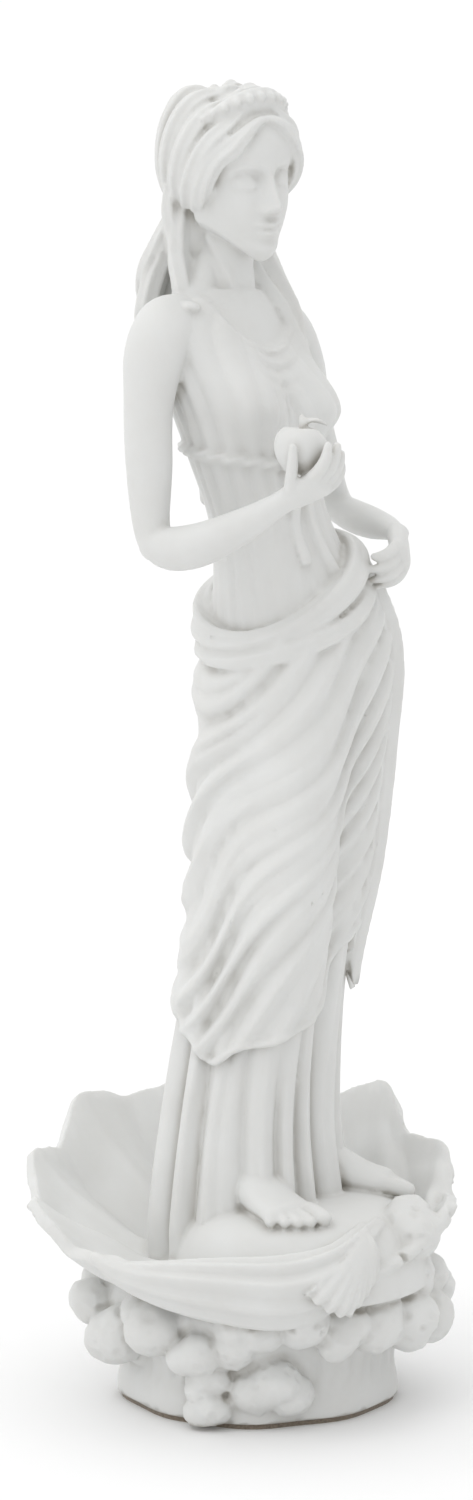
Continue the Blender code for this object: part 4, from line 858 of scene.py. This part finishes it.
def shell():
    """The scallop: a fluted bowl whose ribs meet at the umbo in front, thickened to its wall."""
    half_fan = math.radians(86)
    phi = np.linspace(-half_fan, half_fan, 661)[None, :]
    share = np.linspace(0.03, 1, 180)[:, None]
    turn = phi * SHELL_RIBS * np.pi / half_fan
    rib = np.cos(turn)
    reach = 2 * SHELL_RADIUS * np.cos(phi) * share
    x = np.sin(phi) * reach
    y = np.cos(phi) * reach - SHELL_RADIUS
    out = np.hypot(x, y) / SHELL_RADIUS
    bearing = np.arctan2(x, y)
    lip_share = ease(out, 0.7, 1)
    ruffle = 0.0013 * np.sin(5 * bearing + 1) + 0.0008 * np.sin(9 * bearing)
    scallop = 1 + lip_share * (0.014 * rib + ruffle / SHELL_RADIUS)
    rim = SHELL_RIM + SHELL_RIM_RISE * np.cos(bearing - SHELL_RISE_BEARING)
    rim = rim + SHELL_LOBE_RISE * np.exp(-(((bearing - SHELL_LOBE_BEARING) / 0.32) ** 2))
    height = np.minimum(0.45 * reach * half_fan / SHELL_RIBS, SHELL_RIB_HEIGHT)
    fine = ease(share, 0.25, 0.6)
    growth = SHELL_GROWTH * np.cos(2 * np.pi * share * 5 + 0.4 * np.sin(3 * phi)) * fine
    lines = SHELL_GROWTH * np.cos(3 * turn) * fine
    z = SHELL_FLOOR + (rim + ruffle - SHELL_FLOOR) * out**2.2 + height * rib + growth + lines
    x = x * scallop
    y = y * scallop + SHELL_SET_BACK
    form = bmesh.new()
    points = np.stack([x, y, z], axis=-1)
    grid = [[form.verts.new(point) for point in row] for row in points]
    for row, following in zip(grid, grid[1:]):
        for i in range(len(row) - 1):
            form.faces.new((row[i], row[i + 1], following[i + 1], following[i]))
    bmesh.ops.recalc_face_normals(form, faces=form.faces)
    surface = bpy.data.objects.new("shell_surface", bpy.data.meshes.new("shell_surface"))
    form.to_mesh(surface.data)
    form.free()
    bpy.context.scene.collection.objects.link(surface)
    wall = surface.modifiers.new("wall", "SOLIDIFY")
    wall.thickness = SHELL_WALL
    wall.offset = 0
    return [evaluated(surface)]


# The shell's ear: its tip, the edge of its fan, the way it faces, and its ribs
EAR_TIP = (-0.0078, -0.0372, 0.0448)
EAR_EDGE = (
    (-0.0308, -0.0384, 0.0350),
    (-0.0264, -0.0405, 0.0308),
    (-0.0204, -0.0413, 0.0284),
    (-0.0134, -0.0402, 0.0300),
    (-0.0090, -0.0402, 0.0336),
    (-0.0056, -0.0394, 0.0384),
)
EAR_OUTWARD = (-0.6, -0.78, 0.1)
EAR_RIBS = 9
EAR_RIB_HEIGHT = 0.0009
EAR_BELLY = 0.0022
EAR_DEPTH = 0.0085


def evaluated(guide):
    """The form that an object's modifiers make of it. The object itself is removed."""
    bpy.context.view_layer.update()
    mesh = bpy.data.meshes.new_from_object(guide.evaluated_get(bpy.context.evaluated_depsgraph_get()))
    form = bmesh.new()
    form.from_mesh(mesh)
    bmesh.ops.remove_doubles(form, verts=form.verts, dist=1e-6)
    bmesh.ops.transform(form, matrix=guide.matrix_world, verts=form.verts)
    bpy.data.meshes.remove(mesh)
    bpy.data.objects.remove(guide)
    return form


def ear():
    """The ribbed wing beside the umbo: a fan that spreads down and towards the viewer's side."""
    across = np.linspace(0, 1, 161)[None, :, None]
    along = np.linspace(0.04, 1, 40)[:, None, None]
    tip = np.array(EAR_TIP)
    edge = spline(EAR_EDGE, 161)[None, :, :]
    outward = unit(np.array(EAR_OUTWARD))
    scallop = 1 + 0.018 * np.cos(2 * np.pi * EAR_RIBS * across) * along**2
    belly = EAR_BELLY * (np.sin(np.pi * along**0.8) + np.sin(np.pi * across) * along)
    belly = belly - 0.8 * EAR_BELLY * ease(along, 0.86, 1)
    rib = EAR_RIB_HEIGHT * ridges(2 * np.pi * EAR_RIBS * across, 0.8) * ease(along, 0, 0.3)
    face_out = tip + (edge - tip) * along * scallop + outward * (belly + rib)
    behind = tip + (edge - tip) * along - outward * EAR_DEPTH * (1 - 0.55 * along)
    return [loft(np.concatenate([face_out, behind[:, ::-1]], axis=1))]


def lip():
    """The belly of the shell that rolls over in front, with long flutes from umbo to rim."""
    keys = (
        (0.0000, -0.0325, 0.0425, 0.0030, 0.0030),
        (-0.0070, -0.0340, 0.0395, 0.0062, 0.0036),
        (-0.0170, -0.0340, 0.0352, 0.0088, 0.0050),
        (-0.0275, -0.0292, 0.0332, 0.0096, 0.0064),
        (-0.0370, -0.0182, 0.0338, 0.0088, 0.0050),
        (-0.0425, -0.0065, 0.0345, 0.0062, 0.0034),
        (-0.0456, 0.0020, 0.0362, 0.0034, 0.0022),
        (-0.0466, 0.0080, 0.0388, 0.0014, 0.0012),
    )
    return [sweep(keys, (-0.42, -0.42, 0.8), 120, 144, flutes=9, flute_depth=0.085)]


def mound():
    """The flat-topped swell inside the shell that carries her feet."""
    rings = []
    theta = np.linspace(0, 2 * np.pi, 120, endpoint=False)
    for t in np.radians(np.linspace(-14, 86, 50)):
        out = MOUND_RADIUS * (math.cos(t) ** 0.34 + 2 * min(t, 0))
        x = out * np.cos(theta)
        y = out * np.sin(theta) - MOUND_FORWARD
        rings.append(np.stack([x, y, SHELL_FLOOR + MOUND_HEIGHT * math.sin(t) + 0 * x], axis=-1))
    return [loft(rings)]


def pedestal_outline(theta, grow):
    lobes = 1 + 0.014 * np.sin(5 * theta + 2.2) + 0.016 * np.sin(9 * theta + 5.2)
    return (
        (PEDESTAL_RADIUS_X + grow) * lobes * np.cos(theta),
        (PEDESTAL_RADIUS_Y + grow) * lobes * np.sin(theta),
    )


def pedestal():
    """The rock: an uneven drum, waisted under a frilled ledge, streaked where water runs down."""
    theta = np.linspace(0, 2 * np.pi, 480, endpoint=False)
    low = PAD_THICKNESS - 0.002
    profile = (
        (low, -0.0002),
        (0.004, 0.0),
        (0.010, -0.0012),
        (0.016, -0.0002),
        (0.021, 0.0026),
        (0.0255, 0.0032),
        (0.030, -0.002),
        (0.034, -0.010),
    )
    rings = []
    for z, grow in spline(profile, 70):
        stroke = 0.0007 * ridges(37 * theta + 3 * np.sin(4 * theta) + 1.5 * np.sin(z * 400))
        stroke += 0.0003 * ridges(83 * theta + 4 * np.sin(5 * theta) + z * 300)
        stroke *= ease(z, 0.003, 0.012)
        frill = 0.0042 * ease(z, 0.012, 0.024) * np.clip(np.sin(7 * theta + 0.8 * np.sin(2 * theta)), 0, 1)
        x, y = pedestal_outline(theta, grow + stroke + frill)
        rings.append(np.stack([x, y, z + 0 * x], axis=-1))
    return [loft(rings)]


# Foam clumps round the rock: bearing in degrees from -Y towards +X, distance, height, size, in millimetres
FOAM = (
    (-73, 34.0, 17, 5.3),
    (-71, 32.3, 11.8, 4.4),
    (-72.5, 32.0, 8.0, 4.2),
    (-71, 32.2, 4.6, 4.6),
    (-60, 33.5, 19.5, 4.8),
    (-50, 34.5, 23, 4.8),
    (-53, 30.5, 8.4, 5.2),
    (-44, 31.0, 10.6, 5.6),
    (-37, 30.5, 7.4, 4.8),
    (-34, 34.5, 25, 6.0),
    (-19, 34.5, 22.5, 5.6),
    (-4, 35.0, 22, 6.4),
    (0, 34.0, 30, 4.6),
    (12, 37.0, 21.5, 6.6),
    (18, 35.5, 30, 5.6),
    (15, 37.0, 40.5, 6.8),
    (27, 38.5, 20, 6.2),
    (34, 36.0, 28, 5.6),
    (46, 37.0, 22, 6.8),
    (58, 36.0, 29, 5.6),
    (70, 36.5, 22, 7.2),
    (90, 36.0, 26, 6.2),
    (110, 35.0, 22, 7.2),
    (132, 33.5, 25, 6.2),
    (153, 33.0, 21, 7.0),
    (176, 32.5, 25, 6.2),
    (-163, 33.0, 21, 7.0),
    (-144, 34.5, 25, 6.0),
    (-130, 37.0, 22, 5.8),
    (-114, 34.5, 17, 6.8),
    (-93, 35.0, 21, 6.2),
)
# Pits on a clump, and the rings of its curl: where they face, how far they reach and how high they stand
FOAM_PITS = 34
CURL_HEADING = np.array((0, -0.85, 0.53))
CURL_SCATTER = 0.35
CURL_SPAN = 0.0110
CURL_STEP = 0.0024
CURL_RELIEF = 0.036


def clump(centre, radius, turn, seed):
    """A knot of foam: lobed, pitted with shallow rimmed cells, and curled on its outer side."""
    form = bmesh.new()
    bmesh.ops.create_uvsphere(form, u_segments=96, v_segments=64, radius=1)
    heading = unit(np.array([vertex.co for vertex in form.verts]))
    draw = np.random.default_rng(seed)
    out = np.ones(len(heading))
    for lobe, height in zip(unit(draw.normal(size=(6, 3))), draw.uniform(0.07, 0.22, 6)):
        out += height * np.exp(-(((1 - heading @ lobe) / 0.19) ** 2))
    middle = unit(CURL_HEADING + draw.normal(scale=CURL_SCATTER, size=3))
    curl = np.arccos(np.clip(heading @ middle, -1, 1))
    curled = np.exp(-((curl * CURL_SPAN / radius) ** 2))
    out += CURL_RELIEF * np.cos(2 * np.pi * curl * radius / CURL_STEP) * curled
    order = np.arange(FOAM_PITS) + 0.5
    level = 1 - 2 * order / FOAM_PITS
    round_knot = order * np.pi * (1 + 5**0.5) + draw.uniform(0, 2 * np.pi)
    ring = np.sqrt(1 - level**2)
    pits = np.stack([ring * np.cos(round_knot), ring * np.sin(round_knot), level], axis=-1)
    for pit in unit(pits + draw.normal(scale=0.15, size=pits.shape)):
        gap = np.arccos(np.clip(heading @ pit, -1, 1))
        wide, deep = draw.uniform(0.16, 0.3), draw.uniform(0.03, 0.12)
        out -= deep * np.exp(-((gap / (0.6 * wide)) ** 2)) * (1 - curled)
        out += 0.5 * deep * np.exp(-(((gap - wide) / (0.3 * wide)) ** 2)) * (1 - curled)
    squash = Matrix.Diagonal((1.06, 0.98, 0.94, 1)) @ Matrix.Scale(radius, 4)
    for vertex, point in zip(form.verts, heading * out[:, None]):
        vertex.co = point
    return moved(form, Matrix.Translation(centre) @ Matrix.Rotation(turn, 4, "Z") @ squash)


def foam():
    """Knots of foam that crowd the rock's top edge and carry the shell."""
    forms = []
    for seed, (bearing, distance, height, size) in enumerate(FOAM):
        angle = math.radians(bearing)
        centre = Vector((distance * math.sin(angle), -distance * math.cos(angle), height)) * MM
        radius = size * MM
        forms.append(clump(centre, radius * 0.97, angle, seed))
        inward = (centre[0] * 0.8, centre[1] * 0.8, centre[2] - 0.002)
        forms.append(ball(inward, (radius * 0.9, radius * 0.9, radius * 0.9)))
    return forms


def joined(name, forms):
    """One object that holds all the forms as they stand."""
    whole = bmesh.new()
    for form in forms:
        mesh = bpy.data.meshes.new("form")
        form.to_mesh(mesh)
        form.free()
        whole.from_mesh(mesh)
        bpy.data.meshes.remove(mesh)
    mesh = bpy.data.meshes.new(name)
    whole.to_mesh(mesh)
    whole.free()
    return bpy.data.objects.new(name, mesh)


def applied(guide):
    """A plain object with the form that an object's modifiers make of it."""
    return joined(guide.name + "_applied", [evaluated(guide)])


def cast(name, forms):
    """The forms fused into one fine skin, finer still at the head, with a flat underside."""
    rough = joined("rough", forms)
    bpy.context.scene.collection.objects.link(rough)
    skin = rough.modifiers.new("skin", "REMESH")
    skin.mode = "VOXEL"
    skin.voxel_size = CAST_VOXEL
    soften = rough.modifiers.new("soften", "SMOOTH")
    soften.factor = 0.5
    soften.iterations = 1
    fine = applied(rough)
    bpy.context.scene.collection.objects.link(fine)
    spare = fine.vertex_groups.new(name="reduced")
    points = fine.data.vertices
    spare.add([v.index for v in points if v.co.z <= HEAD_FROM], 1.0, "REPLACE")
    spare.add([v.index for v in points if v.co.z > HEAD_FROM], 0.5, "REPLACE")
    facets = fine.modifiers.new("facets", "DECIMATE")
    facets.ratio = CAST_TRIANGLES / (2 * len(fine.data.polygons))
    facets.vertex_group = spare.name
    facets.vertex_group_factor = HEAD_SPARED
    form = evaluated(fine)
    level = (0, 0, PAD_THICKNESS + PAD_GAP)
    geometry = form.verts[:] + form.edges[:] + form.faces[:]
    bmesh.ops.bisect_plane(form, geom=geometry, plane_co=level, plane_no=(0, 0, 1), clear_inner=True)
    bmesh.ops.holes_fill(form, edges=[edge for edge in form.edges if edge.is_boundary])
    bmesh.ops.triangulate(form, faces=form.faces)
    casting = joined(name, [form])
    casting.data.shade_smooth()
    bpy.context.scene.collection.objects.link(casting)
    return casting


# Materials

# Painted shade in the casting's hollows and creases: how far the occlusion reaches, and its tones
PAINTED_SHADE_REACH = 0.0026
PAINTED_SHADE_TONES = ((0.25, (0.60, 0.57, 0.52)), (0.9, (1, 1, 1)))
MARBLE_SHADES = ((0.3, (0.66, 0.66, 0.645)), (0.7, (0.70, 0.705, 0.695)))
MARBLE_GLOW = 0.12
MARBLE_GLOW_DEPTH = 0.0018
FELT_SHADES = ((0.3, (0.13, 0.105, 0.08)), (0.7, (0.30, 0.25, 0.195)))
FLOOR_WHITE = (0.88, 0.88, 0.88, 1)


def new_material(name):
    made = bpy.data.materials.new(name)
    made.use_nodes = True
    return made, made.node_tree.nodes, made.node_tree.links


def noise(nodes, links, place, scale, detail, roughness=0.5):
    made = nodes.new("ShaderNodeTexNoise")
    made.inputs["Scale"].default_value = scale
    made.inputs["Detail"].default_value = detail
    made.inputs["Roughness"].default_value = roughness
    links.new(place, made.inputs["Vector"])
    return made.outputs["Fac"]


def ramp(nodes, links, value, stops):
    made = nodes.new("ShaderNodeValToRGB")
    made.color_ramp.elements[0].position, made.color_ramp.elements[1].position = stops[0][0], stops[-1][0]
    for stop in stops[1:-1]:
        made.color_ramp.elements.new(stop[0])
    for element, stop in zip(made.color_ramp.elements, stops):
        element.color = (*stop[1], 1)
    links.new(value, made.inputs["Fac"])
    return made.outputs["Color"]


def mix(nodes, links, share, a, b, kind="MIX"):
    """b laid over a by share, which may be a number or a socket."""
    made = nodes.new("ShaderNodeMix")
    made.data_type = "RGBA"
    made.blend_type = kind
    for value, socket in ((share, made.inputs[0]), (a, made.inputs[6]), (b, made.inputs[7])):
        if isinstance(value, bpy.types.NodeSocket):
            links.new(value, socket)
        elif isinstance(value, tuple):
            socket.default_value = (*value, 1)
        else:
            socket.default_value = value
    return made.outputs[2]


def bumped(nodes, links, height, strength, distance, after=None):
    made = nodes.new("ShaderNodeBump")
    made.inputs["Strength"].default_value = strength
    made.inputs["Distance"].default_value = distance
    links.new(height, made.inputs["Height"])
    if after:
        links.new(after, made.inputs["Normal"])
    return made.outputs["Normal"]


def cast_marble():
    """White marble powder in resin: chalky, faintly mottled, a little translucent, with painted shade
    darkening its hollows and creases.
    """
    made, nodes, links = new_material("cast_marble")
    shader = nodes["Principled BSDF"]
    place = nodes.new("ShaderNodeTexCoord").outputs["Object"]
    clouds = noise(nodes, links, place, 55, 4, 0.6)
    mottle = ramp(nodes, links, clouds, MARBLE_SHADES)
    # Painted shade: ambient occlusion darkens the colour to a warm grey in hollows, creases and folds
    hollow = nodes.new("ShaderNodeAmbientOcclusion")
    hollow.inputs["Distance"].default_value = PAINTED_SHADE_REACH
    hollow.samples = 6
    shade = ramp(nodes, links, hollow.outputs["AO"], PAINTED_SHADE_TONES)
    colour = mix(nodes, links, 1.0, mottle, shade, "MULTIPLY")
    links.new(colour, shader.inputs["Base Color"])
    grain = noise(nodes, links, place, 1500, 3, 0.65)
    rough = nodes.new("ShaderNodeMapRange")
    rough.inputs["To Min"].default_value = 0.50
    rough.inputs["To Max"].default_value = 0.68
    links.new(grain, rough.inputs["Value"])
    links.new(rough.outputs["Result"], shader.inputs["Roughness"])
    wave = noise(nodes, links, place, 260, 3, 0.5)
    normal = bumped(nodes, links, grain, 0.35, 0.00006)
    normal = bumped(nodes, links, wave, 0.25, 0.00018, normal)
    links.new(normal, shader.inputs["Normal"])
    shader.inputs["Subsurface Weight"].default_value = MARBLE_GLOW
    shader.inputs["Subsurface Radius"].default_value = (1.0, 0.92, 0.82)
    shader.inputs["Subsurface Scale"].default_value = MARBLE_GLOW_DEPTH
    shader.inputs["Specular IOR Level"].default_value = 0.38
    return made


def felt():
    """Short brown felt."""
    made, nodes, links = new_material("felt_brown")
    shader = nodes["Principled BSDF"]
    place = nodes.new("ShaderNodeTexCoord").outputs["Object"]
    fibre = noise(nodes, links, place, 1900, 5, 0.7)
    brown = ramp(nodes, links, fibre, FELT_SHADES)
    links.new(brown, shader.inputs["Base Color"])
    links.new(bumped(nodes, links, fibre, 0.8, 0.0003), shader.inputs["Normal"])
    shader.inputs["Roughness"].default_value = 0.95
    shader.inputs["Sheen Weight"].default_value = 0.3
    return made


def studio_floor():
    made, nodes, links = new_material("studio_floor")
    shader = nodes["Principled BSDF"]
    shader.inputs["Base Color"].default_value = FLOOR_WHITE
    shader.inputs["Roughness"].default_value = 0.85
    return made


# Studio

FRAME_HEIGHT = 0.331
CAMERA_BEARING = math.radians(-50)
CAMERA_DISTANCE = 1.15
CAMERA_HEIGHT = 0.34
AIM_HEIGHT = 0.146
AIM_LEFT = 0.0052
SENSOR = 36.0
FLOOR_RADIUS = 40.0
SKY_LEVEL = 0.84
SKY_SWING = 0.52
SKY_BEARING = -165
SKY_RISE = 66


def camera():
    """The photograph's view: from her right front, a little above."""
    data = bpy.data.cameras.new("camera")
    data.sensor_fit = "VERTICAL"
    data.sensor_height = SENSOR
    data.clip_start = 0.05
    made = bpy.data.objects.new("camera", data)
    bpy.context.scene.collection.objects.link(made)
    back = Vector((math.sin(CAMERA_BEARING), -math.cos(CAMERA_BEARING), 0))
    right = Vector((math.cos(CAMERA_BEARING), math.sin(CAMERA_BEARING), 0))
    aim = Vector((0, 0, AIM_HEIGHT)) - AIM_LEFT * right
    made.location = back * CAMERA_DISTANCE - AIM_LEFT * right + Vector((0, 0, CAMERA_HEIGHT))
    sight = aim - made.location
    data.lens = SENSOR * sight.length / FRAME_HEIGHT
    made.rotation_euler = sight.to_track_quat("-Z", "Y").to_euler()
    bpy.context.scene.camera = made


def area_light(name, bearing, distance, height, size, power):
    """A soft box that faces the statuette's middle."""
    data = bpy.data.lights.new(name, "AREA")
    data.shape = "SQUARE"
    data.size = size
    data.energy = power
    made = bpy.data.objects.new(name, data)
    bpy.context.scene.collection.objects.link(made)
    angle = math.radians(bearing)
    made.location = (distance * math.sin(angle), -distance * math.cos(angle), height)
    toward = Vector((0, 0, 0.15)) - made.location
    made.rotation_euler = toward.to_track_quat("-Z", "Y").to_euler()


def sky():
    """The room's light: white all round, brightest from above and a little behind, dimmest from below."""
    world = bpy.data.worlds.new("studio")
    world.use_nodes = True
    nodes, links = world.node_tree.nodes, world.node_tree.links
    heading = nodes.new("ShaderNodeTexCoord").outputs["Generated"]
    toward = nodes.new("ShaderNodeVectorMath")
    toward.operation = "DOT_PRODUCT"
    bearing, rise = math.radians(SKY_BEARING), math.radians(SKY_RISE)
    toward.inputs[1].default_value = (
        math.cos(rise) * math.sin(bearing),
        -math.cos(rise) * math.cos(bearing),
        math.sin(rise),
    )
    links.new(heading, toward.inputs[0])
    level = nodes.new("ShaderNodeMapRange")
    level.inputs["From Min"].default_value = -1
    level.inputs["To Min"].default_value = SKY_LEVEL - SKY_SWING
    level.inputs["To Max"].default_value = SKY_LEVEL + SKY_SWING
    links.new(toward.outputs["Value"], level.inputs["Value"])
    links.new(level.outputs["Result"], nodes["Background"].inputs["Strength"])
    nodes["Background"].inputs["Color"].default_value = (1, 1, 1, 1)
    bpy.context.scene.world = world


def studio():
    """A white floor under the room's light, with one soft box above her right side."""
    bpy.context.scene.view_settings.view_transform = "Standard"
    sky()
    area_light("top_box", -95, 0.6, 1.1, 0.5, 1.0)
    form = bmesh.new()
    bmesh.ops.create_circle(form, cap_ends=True, segments=96, radius=FLOOR_RADIUS)
    floor = joined("floor", [form])
    floor.data.materials.append(studio_floor())
    bpy.context.scene.collection.objects.link(floor)


def main():
    """Everything that the render shows."""
    marble = cast_marble()
    casting = cast("marble_casting", figure() + shell() + ear() + lip() + mound() + pedestal() + foam())
    casting.data.materials.append(marble)
    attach(casting, "root")
    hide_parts("statue")
    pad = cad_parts["felt_pad"]
    pad.data.materials.clear()
    pad.data.materials.append(felt())
    camera()
    studio()


main()
